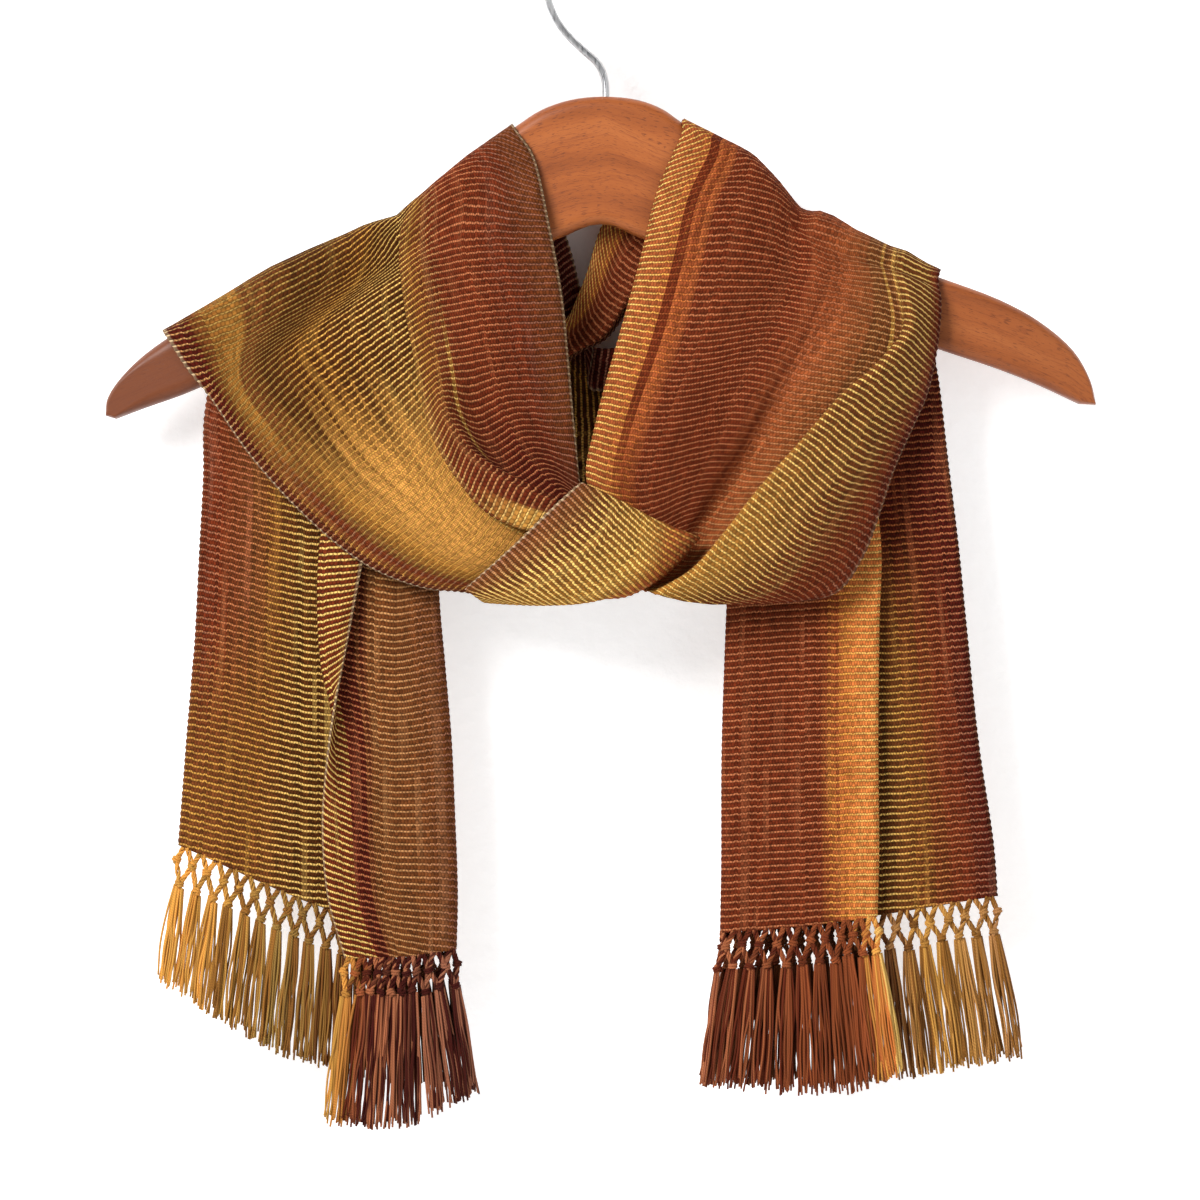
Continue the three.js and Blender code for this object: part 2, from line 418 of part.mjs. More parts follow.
// The wall: the grid moved out to both sides, with its rim closed.
function wall(points, thick) {
  const rows = points.length;
  const cols = points[0].length;
  const at = (i, j) => points[Math.min(rows - 1, Math.max(0, i))][Math.min(cols - 1, Math.max(0, j))];
  const sides = [[], []];
  for (let i = 0; i < rows; i++) {
    for (let j = 0; j < cols; j++) {
      const u = through(at(i, j - 1), at(i, j), at(i, j + 1));
      const v = through(at(i - 1, j), at(i, j), at(i + 1, j));
      const n = unit(crossed(u, v));
      sides[0].push(add(at(i, j), n, thick / 2));
      sides[1].push(add(at(i, j), n, -thick / 2));
    }
  }
  const verts = [...sides[0], ...sides[1]];
  const half = rows * cols;
  const id = (i, j) => i * cols + j;
  const tris = [];
  const quad = (a, b, c, d) => {
    // split along the shorter diagonal
    if (apart(verts[a], verts[c]) <= apart(verts[b], verts[d])) tris.push([a, b, c], [a, c, d]);
    else tris.push([a, b, d], [b, c, d]);
  };
  for (let i = 0; i < rows - 1; i++) {
    for (let j = 0; j < cols - 1; j++) {
      const [a, b, c, d] = [id(i, j), id(i, j + 1), id(i + 1, j + 1), id(i + 1, j)];
      quad(a, b, c, d);
      quad(half + d, half + c, half + b, half + a);
    }
  }
  const rim = (a, b) => quad(b, a, half + a, half + b);
  for (let j = 0; j < cols - 1; j++) {
    rim(id(0, j), id(0, j + 1));
    rim(id(rows - 1, j + 1), id(rows - 1, j));
  }
  for (let i = 0; i < rows - 1; i++) {
    rim(id(i + 1, 0), id(i, 0));
    rim(id(i, cols - 1), id(i + 1, cols - 1));
  }
  return facingOut(verts, tris);
}
// The triangles turned so that they face out of the solid.
function facingOut(verts, tris) {
  let volume = 0;
  for (const [a, b, c] of tris) {
    const [p, q, r] = [verts[a], verts[b], verts[c]];
    volume += p[0] * (q[1] * r[2] - q[2] * r[1]) + p[1] * (q[2] * r[0] - q[0] * r[2])
      + p[2] * (q[0] * r[1] - q[1] * r[0]);
  }
  return { verts, tris: volume > 0 ? tris : tris.map(([a, b, c]) => [a, c, b]) };
}

// --- Meshes ---------------------------------------------------------------------------------------
const asManifold = ({ verts, tris }) => new Manifold(new wasm.Mesh({
  numProp: 3, vertProperties: new Float32Array(verts.flat()), triVerts: new Uint32Array(tris.flat()),
}));
// The smallest convex solid about some points.
function convex(points) {
  const geometry = new ConvexGeometry(points.map((p) => new THREE.Vector3(...p)));
  geometry.deleteAttribute("normal");
  const merged = mergeVertices(geometry, 1e-5);
  const vertProperties = merged.attributes.position.array;
  return new Manifold(new wasm.Mesh({
    numProp: 3, vertProperties, triVerts: new Uint32Array(merged.index.array),
  }));
}
function fromManifold(solid) {
  const m = solid.getMesh();
  const verts = [];
  for (let i = 0; i < m.vertProperties.length; i += m.numProp) {
    verts.push([...m.vertProperties.slice(i, i + 3)]);
  }
  const tris = [];
  for (let i = 0; i < m.triVerts.length; i += 3) tris.push([...m.triVerts.slice(i, i + 3)]);
  return { verts, tris };
}
const group = new THREE.Group();
// A named mesh of the group.
function piece(name, { verts, tris }, color, roughness, metalness = 0) {
  const geometry = new THREE.BufferGeometry();
  geometry.setAttribute("position", new THREE.Float32BufferAttribute(verts.flat(), 3));
  geometry.setIndex(tris.flat());
  geometry.computeVertexNormals();
  const mesh = new THREE.Mesh(geometry, new THREE.MeshStandardMaterial({ color, roughness, metalness }));
  mesh.name = name;
  group.add(mesh);
}

// --- The hanger -----------------------------------------------------------------------------------
// A flat board with rounded edges: the outline drawn in rings, smaller towards each face.
function board() {
  const flat = [...BOARD_TOP, ...BOARD_UNDER];
  const n = flat.length;
  const area = flat.reduce((s, p, i) => s + p[0] * flat[(i + 1) % n][1] - flat[(i + 1) % n][0] * p[1], 0);
  const inward = flat.map((p, i) => {
    const [a, b] = [flat[(i + n - 1) % n], flat[(i + 1) % n]];
    const [ea, eb] = [unit(add(p, a, -1)), unit(add(b, p, -1))];
    const t = unit(add(ea, eb));
    const widen = 1 / Math.max(0.7, t[0] * ea[0] + t[1] * ea[1]);
    const tip = Math.min(1, Math.max(0.25, (224 - Math.abs(p[0])) / 24)); // thinner rounding at the tips
    const s = (area > 0 ? widen : -widen) * tip;
    return [-t[1] * s, t[0] * s];
  });
  const h = BOARD / 2;
  const rings = [];
  for (const side of [-1, 1]) {
    for (const deg of side < 0 ? [90, 45, 0] : [0, 45, 90]) {
      const c = ROUND * (1 - Math.cos((deg * Math.PI) / 180));
      const y = side * (h - ROUND + ROUND * Math.sin((deg * Math.PI) / 180));
      rings.push(flat.map((p, i) => {
        const q = add(p, inward[i], c);
        return [q[0], y, q[1]];
      }));
    }
  }
  const verts = rings.flat();
  const tris = [];
  for (let k = 0; k < rings.length - 1; k++) {
    for (let i = 0; i < n; i++) {
      const [a, b] = [k * n + i, k * n + ((i + 1) % n)];
      tris.push([a, b, b + n], [a, b + n, a + n]);
    }
  }
  const cap = (base, flip) => {
    const shape = rings[base / n].map((p) => new THREE.Vector2(p[0], p[2]));
    for (const [a, b, c] of THREE.ShapeUtils.triangulateShape(shape, [])) {
      tris.push(flip ? [base + a, base + c, base + b] : [base + a, base + b, base + c]);
    }
  };
  const ccw = area > 0;
  cap(0, ccw);
  cap((rings.length - 1) * n, !ccw);
  const solid = asManifold(facingOut(verts, fixedCaps(verts, tris, n, rings.length)));
  const [foot, above] = [[HOOK[0][0], 0, HOOK[0][1] - 1], [HOOK[0][0], 0, HOOK[1][1] + 4.7]];
  const bore = bar(foot, above, WIRE + 0.45, WIRE + 0.45, 12);
  return fromManifold(solid.subtract(bore));
}
// The same triangles, with each cap wound to agree with the sides.
function fixedCaps(verts, tris, n, rings) {
  const sides = tris.slice(0, (rings - 1) * n * 2);
  const caps = tris.slice((rings - 1) * n * 2);
  const edges = new Set(sides.flatMap(([a, b, c]) => [`${a},${b}`, `${b},${c}`, `${c},${a}`]));
  const clash = ([a, b, c]) => [[a, b], [b, c], [c, a]].some((edge) => edges.has(edge.join()));
  const half = caps.length / 2;
  const fix = (part) => (part.some(clash) ? part.map(([a, b, c]) => [a, c, b]) : part);
  return [...sides, ...fix(caps.slice(0, half)), ...fix(caps.slice(half))];
}
// A round wire through points, with a domed free end.
function wire(path, r, sides) {
  const verts = [];
  const tris = [];
  path.forEach((p, i) => {
    const a = path[Math.max(0, i - 1)];
    const b = path[Math.min(path.length - 1, i + 1)];
    const t = unit(add(b, a, -1));
    const across = [t[2], 0, -t[0]];
    const size = i === path.length - 1 ? r * 0.45 : r;
    for (let k = 0; k < sides; k++) {
      const w = (k / sides) * 2 * Math.PI;
      verts.push(add(add(p, across, size * Math.cos(w)), [0, 1, 0], size * Math.sin(w)));
    }
  });
  for (let i = 0; i < path.length - 1; i++) {
    for (let k = 0; k < sides; k++) {
      const [a, b] = [i * sides + k, i * sides + ((k + 1) % sides)];
      tris.push([a, b, b + sides], [a, b + sides, a + sides]);
    }
  }
  const end = (path.length - 1) * sides;
  for (let k = 1; k < sides - 1; k++) {
    tris.push([0, k + 1, k]);
    tris.push([end, end + k, end + k + 1]);
  }
  return facingOut(verts, tris);
}
// The hook: its stem, then the loop round to the free end.
function hook() {
  const centre = WIRE - LOOP;
  const path = HOOK.map(([x, z]) => [x, 0, z]);
  for (let deg = 170; deg >= -5; deg -= 12.5) {
    const w = (deg * Math.PI) / 180;
    path.push([LOOP * Math.cos(w), 0, centre + LOOP * Math.sin(w)]);
  }
  const tip = path[path.length - 1];
  path.push(add(tip, unit(add(tip, path[path.length - 2], -1)), 1.2));
  return wire(path, WIRE, 8);
}

// --- The fringe -----------------------------------------------------------------------------------
// A number from -0.5 to 0.5 that is always the same for one i.
const noise = (i) => {
  const s = Math.sin(i * 12.9898 + 4.1414) * 43758.5453;
  return s - Math.floor(s) - 0.5;
};
// Evenly spaced points of a line, and the same places on a second line.
function spaced(line, other, count) {
  const sums = [0];
  for (let i = 1; i < line.length; i++) sums.push(sums[i - 1] + apart(line[i], line[i - 1]));
  const total = sums[sums.length - 1];
  return count.map((f) => {
    const s = f * total;
    const i = Math.min(line.length - 2, Math.max(0, sums.findIndex((v) => v > s) - 1));
    const t = (s - sums[i]) / (sums[i + 1] - sums[i]);
    return [mix(line[i], line[i + 1], t), mix(other[i], other[i + 1], t)];
  });
}
// A bar of three or four sides between two points.
function bar(a, b, ra, rb, sides, turn = 0) {
  const t = unit(add(b, a, -1));
  const u = unit(Math.abs(t[1]) < 0.9 ? [-t[2], 0, t[0]] : [1, 0, 0]);
  const v = crossed(t, u);
  const points = [];
  for (const [p, r] of [[a, ra], [b, rb]]) {
    for (let k = 0; k < sides; k++) {
      const w = turn + (k / sides) * 2 * Math.PI;
      points.push(add(add(p, u, r * Math.cos(w)), v, r * Math.sin(w)));
    }
  }
  return convex(points);
}
const knot = (p, r) => convex([[r, 0, 0], [-r / 2, r, 0], [-r / 2, -r, 0], [0, 0, 1.3 * r],
  [0, 0, -1.3 * r]].map((d) => add(p, d)));
// A net of two rows of knots below a thin backing, with a tassel under each knot of the second row.
function fringe(endLine, tipLine) {
  const hang = endLine.map((p, j) => unit(add(tipLine[j], p, -1)));
  const backing = wall([0.4, 3].map((s) => endLine.map((p, j) => add(p, hang[j], s))), 1.4);
  const solids = [asManifold(backing)];
  const places = Array.from({ length: TASSELS }, (_, k) => (k + 0.5) / TASSELS);
  const below = ([p, q], s) => add(p, unit(add(q, p, -1)), s);
  const roots = spaced(endLine, tipLine, places);
  const root = roots.map((r) => below(r, 2.2));
  const low = roots.map((r) => below(r, 16.5));
  for (let k = 0; k < TASSELS - 1; k++) {
    const middle = mix(mix(root[k], low[k + 1], 0.5), mix(root[k + 1], low[k], 0.5), 0.5);
    solids.push(knot(middle, 1.4));
    solids.push(bar(root[k], low[k + 1], 0.9, 0.9, 3, 0.5), bar(root[k + 1], low[k], 0.9, 0.9, 3, 0.5));
  }
  low.forEach((p, k) => {
    const tip = roots[k][1];
    const next = roots[Math.min(TASSELS - 1, k + 1)];
    const prev = roots[Math.max(0, k - 1)];
    const down = unit(add(tip, p, -1));
    const sideTop = unit(add(next[0], prev[0], -1));
    const side = unit(add(next[1], prev[1], -1));
    const foot = add(p, down, 7);
    // the head of the tassel: a knot that widens into a skirt
    solids.push(convex([add(p, [0, 0, 1.8]), add(p, sideTop, 1.7), add(p, sideTop, -1.7),
      add(p, [0, 1.6, 0]), add(p, [0, -1.6, 0]), add(add(foot, sideTop, 3), [0, 0.5, 0]),
      add(add(foot, sideTop, -3), [0, 0.5, 0]), add(foot, [0, -0.9, 0])]));
    if (k === 0 || k === TASSELS - 1) solids.push(bar(root[k], p, 0.9, 0.9, 3));
    for (let s = 0; s < STRANDS; s++) {
      const off = (s - (STRANDS - 1) / 2) / (STRANDS - 1);
      const seed = k * STRANDS + s;
      const stray = [0, noise(seed + 99) * 2.4, noise(seed + 41) * 6];
      const end = add(add(tip, side, off * 6 + noise(seed)), stray);
      solids.push(bar(add(add(p, down, 5), sideTop, off * 3.6), end, 0.7, 0.5, 3, seed));
    }
  });
  return fromManifold(Manifold.union(solids));
}

// --- Assembly -------------------------------------------------------------------------------------
const WOOD = 0xb8703f;
const STEEL = 0x9a9c9e;
piece("hanger_body", board(), WOOD, 0.5);
piece("hanger_hook", hook(), STEEL, 0.3, 1);

const doubled = { flap: 0, edge: 1.15 };
const open = { turn: 0, tuck: 1, cuffR: 0 };
const tailLeft = [...LEFT_TAIL, ...overArm(OVER_LEFT.tail, ROUNDS, doubled)];
const tailRight = [...RIGHT_TAIL, ...overArm(OVER_RIGHT.tail, ROUNDS, doubled)];
const back = [...ROUNDS].reverse();
// In front the outer wraps start to fold: the left one rolls at its lip, the right one swells.
const frontLeft = [...overArm(OVER_LEFT.panel, back.slice(0, 6), open),
  ...overArm(OVER_LEFT.brink, [1], { turn: 75, tuck: 1 }),
  ...overArm(OVER_LEFT.chest, [0], { turn: 160, tuck: 3 }), ...LEFT_PANEL];
const frontRight = [...overArm(OVER_RIGHT.panel, back.slice(0, 3), open),
  ...overArm(OVER_RIGHT.brink, back.slice(3, 7), open), ...RIGHT_PANEL];
// The back stretches start and end 1.9 mm below the ends of those that they join.
const END = 7 + 1.9 / 15;
const backNear = [...overArm(OVER_LEFT.near, [END], open), ...BACK_NEAR,
  ...overArm(OVER_RIGHT.near, [END], open)];
const backFar = [...overArm(OVER_LEFT.far, [END], open), ...BACK_FAR,
  ...overArm(OVER_RIGHT.far, [END], { ...open, cuffR: -1.05 })];
const ones = Array(40).fill(1);

const leftTail = grid("tail", tailLeft, ones);
const rightTail = grid("tail", tailRight, ones);
piece("tail_left", wall(trimmed(leftTail, 0, SEAM), CLOTH), 0x8e5a2c, 0.9);
piece("tail_right", wall(trimmed(rightTail, 0, SEAM), CLOTH), 0x9a5530, 0.9);
piece("front_left", wall(trimmed(grid("left", frontLeft, ones), SEAM, 0), CLOTH), 0x9c6430, 0.9);
piece("front_right", wall(trimmed(grid("right", frontRight, ones), SEAM, 0), CLOTH), 0x8f4d2b, 0.9);
piece("crossing", wall(grid("crossing", CROSSING, [2, 2, 2, 1, 1, 1, 1]), CLOTH), 0xae7b42, 0.9);
piece("back_near", wall(grid("near", backNear, ones), CLOTH), 0x8f4d2b, 0.9);
piece("back_far", wall(grid("far", backFar, ones), CLOTH), 0x6c3a22, 0.9);

const tips = (t, table) => smooth(STRETCH.tail.line({ ...t, flap: 0 }), STRETCH.tail.steps);
piece("fringe_left", fringe(leftTail[0], tips(LEFT_TIPS)), 0x8a5a2a, 0.9);
piece("fringe_right", fringe(rightTail[0], tips(RIGHT_TIPS)), 0x9a5230, 0.9);

export default group;
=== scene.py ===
# %% [markdown]
# # A woven scarf on a wooden hanger
# The scarf is one strip of rep weave, wound round a flat wooden hanger: over both arms, across the back and
# turned over itself in front, with both knotted ends hanging down. The measured model of it is loaded first.
# Everything here is made in millimetres, in that model's frame, and scaled to metres when a mesh is written.

import math
import random

import bpy
import numpy as np
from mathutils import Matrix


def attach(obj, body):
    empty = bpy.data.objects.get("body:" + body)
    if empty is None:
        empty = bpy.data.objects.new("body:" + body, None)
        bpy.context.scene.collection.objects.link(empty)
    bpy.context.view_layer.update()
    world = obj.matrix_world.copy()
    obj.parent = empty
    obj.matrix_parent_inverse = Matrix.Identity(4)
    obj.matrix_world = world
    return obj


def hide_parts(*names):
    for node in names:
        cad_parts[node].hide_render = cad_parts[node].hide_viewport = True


MM = 0.001
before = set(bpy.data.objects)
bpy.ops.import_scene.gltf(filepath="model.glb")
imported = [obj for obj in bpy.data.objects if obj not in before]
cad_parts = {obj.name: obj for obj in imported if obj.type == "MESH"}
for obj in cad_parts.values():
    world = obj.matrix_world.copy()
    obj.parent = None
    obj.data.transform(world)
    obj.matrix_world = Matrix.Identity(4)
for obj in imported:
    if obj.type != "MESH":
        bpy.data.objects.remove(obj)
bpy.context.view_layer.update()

# %% [markdown]
# ## Camera
# The hanger is seen square on. A long lens keeps the near folds from swelling, so it stands far back: the
# distance follows from the width of wall that the view takes in.

# %% Camera
LENS = 200
SENSOR = 36
VIEW_WIDTH = 537.2
VIEW_CENTRE = (-1.3, -296.8)
MIDDLE_DEPTH = -14
FAR_CLIP = 50

camera = bpy.data.objects.new("camera", bpy.data.cameras.new("camera"))
bpy.context.scene.collection.objects.link(camera)
camera.data.lens = LENS
camera.data.sensor_width = SENSOR
camera_distance = VIEW_WIDTH * LENS / SENSOR
camera.location = [v * MM for v in (VIEW_CENTRE[0], MIDDLE_DEPTH - camera_distance, VIEW_CENTRE[1])]
camera.rotation_euler = (math.radians(90), 0, 0)
camera.data.clip_end = FAR_CLIP
bpy.context.scene.camera = camera
print("camera stands", round(camera_distance * MM, 2), "m away")

# %% [markdown]
# ## Smooth lines through a few points
# Cloth has no corners, so every line in it is a centripetal Catmull-Rom curve through a few points: it passes
# through each one and never loops between two that lie close together. Arrays let one call smooth a whole
# bundle of threads at once.


# %% Curves
LEAST_GAP = 0.01


def unit(a):
    length = np.linalg.norm(a, axis=-1, keepdims=True)
    return a / np.where(length < 1e-9, 1, length)


def knot_gap(p, q):
    """The square root of the distance, which is what keeps the curve from looping."""
    return np.sqrt(np.maximum(np.linalg.norm(q - p, axis=-1, keepdims=True), LEAST_GAP))


def between(p, q, u):
    return p + (q - p) * u


def span(a, b, c, d, t):
    """Points of the curve from b to c, for each t from 0 to 1."""
    k1 = knot_gap(a, b)
    k2 = k1 + knot_gap(b, c)
    k3 = k2 + knot_gap(c, d)
    s = k1 + (k2 - k1) * t
    before = between(a, b, s / k1)
    middle = between(b, c, (s - k1) / (k2 - k1))
    after = between(c, d, (s - k2) / (k3 - k2))
    early = between(before, middle, s / k2)
    late = between(middle, after, (s - k1) / (k3 - k1))
    return between(early, late, (s - k1) / (k2 - k1))


def smooth(points, counts):
    """The curve through the points, with counts[i] parts between point i and the next."""
    points = [np.asarray(p, float) for p in points]
    ends = [2 * points[0] - points[1], *points, 2 * points[-1] - points[-2]]
    out = []
    for i, n in enumerate(counts):
        out += [span(*ends[i : i + 4], k / n) for k in range(n)]
    return np.array(out + [points[-1]])


print("a bend through 3 points, drawn with", len(smooth([(0, 0), (10, 0), (10, 10)], [8, 8])), "points")


# %% [markdown]
# ## Folds
# A fold is not a sharp line but a turn of a millimetre or two. Walking along the cloth with a heading, like a
# turtle, gives a tuck its two turns and the layer between them; a plain fold needs only three points.


# %% Folds
TURN = 1  # radius of a pressed turn
LOOSE = 1.2  # of a turn behind the hanger
ROLL = 3.5  # of the rolled crest on the right
EDGE = 3.5  # of a tail's doubled edge
TURN_PARTS = 3
LEAST_REACH = 1.5  # how far a plain fold's sides start from its edge
FLAT_REACH = 3.5  # how many times further its flat places lie
FLAT_SINK = 0.25


def tucked(before, at, after, turn, tuck, deep, first, second):
    """The cloth turns through `turn` degrees at `at`, runs `tuck` and turns back.

    deep is 1 where it turns away from the front first, and -1 where it turns towards it.
    """
    along = after - before
    along[1] = 0
    along = unit(along)
    part = turn / 180
    path = [(0.0, 0.0)]
    heading = 0.0

    def walk(length, change, parts):
        nonlocal heading
        for _ in range(parts):
            heading += change / parts / 2
            u, v = path[-1]
            path.append((u + math.cos(heading) * length / parts, v + math.sin(heading) * length / parts))
            heading += change / parts / 2

    def arc(radius):
        return math.pi * (TURN + (radius - TURN) * part)

    walk(arc(first), math.pi * part, TURN_PARTS)
    walk(tuck, 0, 1)
    walk(arc(second), -math.pi * part, TURN_PARTS)
    edge = (first, first) if deep > 0 else (-tuck - second, 2 * first + second)
    u0 = part * edge[0] + (1 - part) * path[-1][0] / 2
    v0 = part * edge[1] + (1 - part) * path[-1][1] / 2
    return [at + along * (u - u0) + np.array([0, (v - v0) * deep, 0]) for u, v in path]


def bent(a, p, b, r):
    """A fold of radius r at p, between a nearer side a and a deeper side b."""
    reach = max(r, LEAST_REACH)
    flat = np.array([1, 0, 1])
    near = p + unit((a - p) * flat) * reach
    far = p + unit((b - p) * flat) * reach
    near[1] = p[1] - r
    far[1] = p[1] + r
    return [near, p, far]


def creased(a, p, b, r):
    """The same, with a flat place on each side of the fold."""
    near, mid, far = bent(a, p, b, r)

    def beside(q, to):
        s = p + (q - p) * FLAT_REACH
        s[1] = q[1] + (to[1] - q[1]) * FLAT_SINK
        return s

    return [beside(near, a), near, mid, far, beside(far, b)]


half_turn = math.pi * TURN
print("a pressed tuck of 5 mm takes up", round(2 * half_turn + 5, 1), "mm of cloth")


# %% [markdown]
# ## The hanger's outline
# The cloth lies on the board, so the board's outline comes before both. The outline is drawn as the hanger is
# sawn: along the top from tip to tip, and back along the arch below.

# %% The hanger's outline
BOARD = 16  # thickness of the wood
ROUND = 5  # radius of its rounded edges
LAST_ROUND = 7  # a line over the arm has rounds 0 (front, low) to 7 (back, low)
ON_TOP = LAST_ROUND / 2
ARM_SIDE = 15  # how far down the arm's face rounds 0 and 7 lie
BOARD_TOP = [
    (-223.5, -214), (-222.5, -206), (-213, -193), (-197, -180), (-171, -166), (-149, -153.4),
    (-113, -138), (-91, -125.6), (-73, -109.4), (-60, -98.6), (-39.4, -84.2), (-28, -76.8),
    (-15, -72.2), (0, -70.6), (16, -72.2), (27, -76.4), (34.5, -81.6), (52, -93.4),
    (64, -101), (75, -112), (88, -125.6), (110, -138), (135, -146), (151, -151.8),
    (178, -161.8), (196, -171.6), (211.5, -185), (219, -198.4), (221.5, -209),
]
BOARD_UNDER = [
    (214, -208.6), (196, -200.2), (178, -193), (150, -183.6), (120, -172.5), (90, -160.5),
    (55, -147.5), (19, -134.8), (-1, -127.6), (-21.5, -134.8), (-60, -147.5), (-100, -163),
    (-140, -179), (-182, -201.5), (-207, -210.8), (-219, -215.4),
]


def section(turn, off):
    """[Y, rise above the board's edge] a way round the arm, at distance `off` from the wood."""
    flat = BOARD / 2 - ROUND
    corner = (ROUND + off) * math.sqrt(0.5)
    side = -1 if turn < ON_TOP else 1
    k = turn if turn < ON_TOP else LAST_ROUND - turn
    if k >= 3:
        return side * flat, off
    if k >= 2:
        return side * (flat + corner), corner - ROUND
    return side * (BOARD / 2 + off), -ROUND if k >= 1 else ARM_SIDE * (k - 1)


def on_arm(p, turn):
    """p is (x, minus its distance from the wood, 0); the result lies round the arm at that x."""
    y, rise = section(turn, -p[1])
    top = np.array(BOARD_TOP, float)
    i = int(np.argmax(top[:, 0] > p[0]))

    def square(j):
        a, b = top[max(0, j - 1)], top[min(len(top) - 1, j + 1)]
        return unit(np.array([a[1] - b[1], b[0] - a[0]]))

    t = (p[0] - top[i - 1][0]) / (top[i][0] - top[i - 1][0])
    n = unit(square(i - 1) * (1 - t) + square(i) * t)
    if abs(turn - ON_TOP) > 2 and p[0] > 0:
        n[0] = 0  # on the right arm the cloth drops straight
    edge = top[i - 1][1] + (top[i][1] - top[i - 1][1]) * t
    return np.array([p[0] + n[0] * rise, y, edge + n[1] * rise])


print("board", BOARD_TOP[-1][0] - BOARD_TOP[0][0], "mm wide and", BOARD, "mm thick")


# %% [markdown]
# ## The stretches of the strip
# The strip is told as tables. A row is one line across the cloth, the way a weft thread lies, and a named
# column is one warp thread, so a table reads like the cloth itself. Turns and tucks are given by row, because
# they grow and fade along a fold.


# %% Tables
def table(names, rows):
    """One dict a row: a point for each named column, and the row's own turns and tucks."""
    out = []
    for row in rows:
        points = [np.array(p, float) for p in row if isinstance(p, tuple)]
        extra = row[-1] if isinstance(row[-1], dict) else {}
        out.append({**dict(zip(names.split(), points)), **extra})
    return out


print("columns in one row:", list(table("left right", [((0, 0, 0), (10, 0, 0), dict(turn=90))])[0]))

# %% [markdown]
# The left panel comes up from the crossing and widens over the left arm. Its inner part rolls over a lip that
# deepens from row to row, so each row says how far the lip turns and how much cloth it takes.

# %% The left panel
LEFT_PANEL = table(
    "neck face pocket ridge lip belly edge",
    [
        ((-23.7, -14.5, -129.4), (-58.6, -19, -137.4), (-71.6, -19.5, -142.8), (-81.5, -23, -147.3),
         (-89.5, -21.8, -154.5), (-134.8, -16.3, -182.7), (-175.9, -12.6, -206.4),
         dict(turn=172, tuck=4)),
        ((-17.9, -18, -162.5), (-51.5, -25, -165.2), (-66.3, -25.5, -167.9), (-77.5, -28, -170.6),
         (-86, -27, -175.9), (-123.1, -23, -203.7), (-156.7, -16.5, -233.7), dict(turn=160, tuck=3.5)),
        ((-15.2, -21, -190.3), (-46.1, -28, -189.4), (-61.3, -30, -192.1), (-73, -34.2, -194.7),
         (-81, -33, -201.9), (-104.3, -29, -230.6), (-129.4, -21.5, -262.8), dict(turn=180, tuck=6)),
        ((-13, -24, -215.3), (-40.7, -28, -210), (-56.9, -31, -216.2), (-69.4, -39.5, -212.7),
         (-75.7, -38, -223.4), (-85.5, -34, -248.5), (-103.4, -26, -282.5), dict(turn=180, tuck=6)),
        ((-11.6, -26, -229.7), (-33.6, -28, -227), (-47, -34, -235.9), (-57.8, -43.5, -231),
         (-63.1, -42, -244.9), (-68.9, -37, -265.5), (-79.7, -29, -291.5), dict(turn=180, tuck=5)),
        ((-10.3, -27.5, -243.1), (-25.5, -28.5, -238.6), (-35.4, -36, -246.7), (-44.3, -45.4, -240),
         (-51.5, -44, -257.4), (-56, -39, -275.3), (-63.1, -31.5, -293.2), dict(turn=170, tuck=4)),
        ((-8.5, -29, -251.2), (-17.9, -30, -247.6), (-24.2, -38, -254.3), (-31.3, -45.2, -246.2),
         (-38.9, -44, -263.7), (-42.5, -39, -279.8), (-47, -32.5, -295.5), dict(turn=150, tuck=3)),
        ((-6.3, -30, -256.5), (-12.1, -32, -254.3), (-15.7, -38.5, -259.2), (-19.3, -43.6, -251.6),
         (-26, -42.5, -266.8), (-27.8, -38.5, -281.2), (-30, -33.5, -296.4), dict(turn=130, tuck=2)),
    ],
)
print("left panel:", len(LEFT_PANEL), "rows")

# %% [markdown]
# The right panel drops from the right arm and narrows to the crossing. A soft valley runs down it, and beyond
# the valley the cloth swells into a crest that rolls over its own outer band.

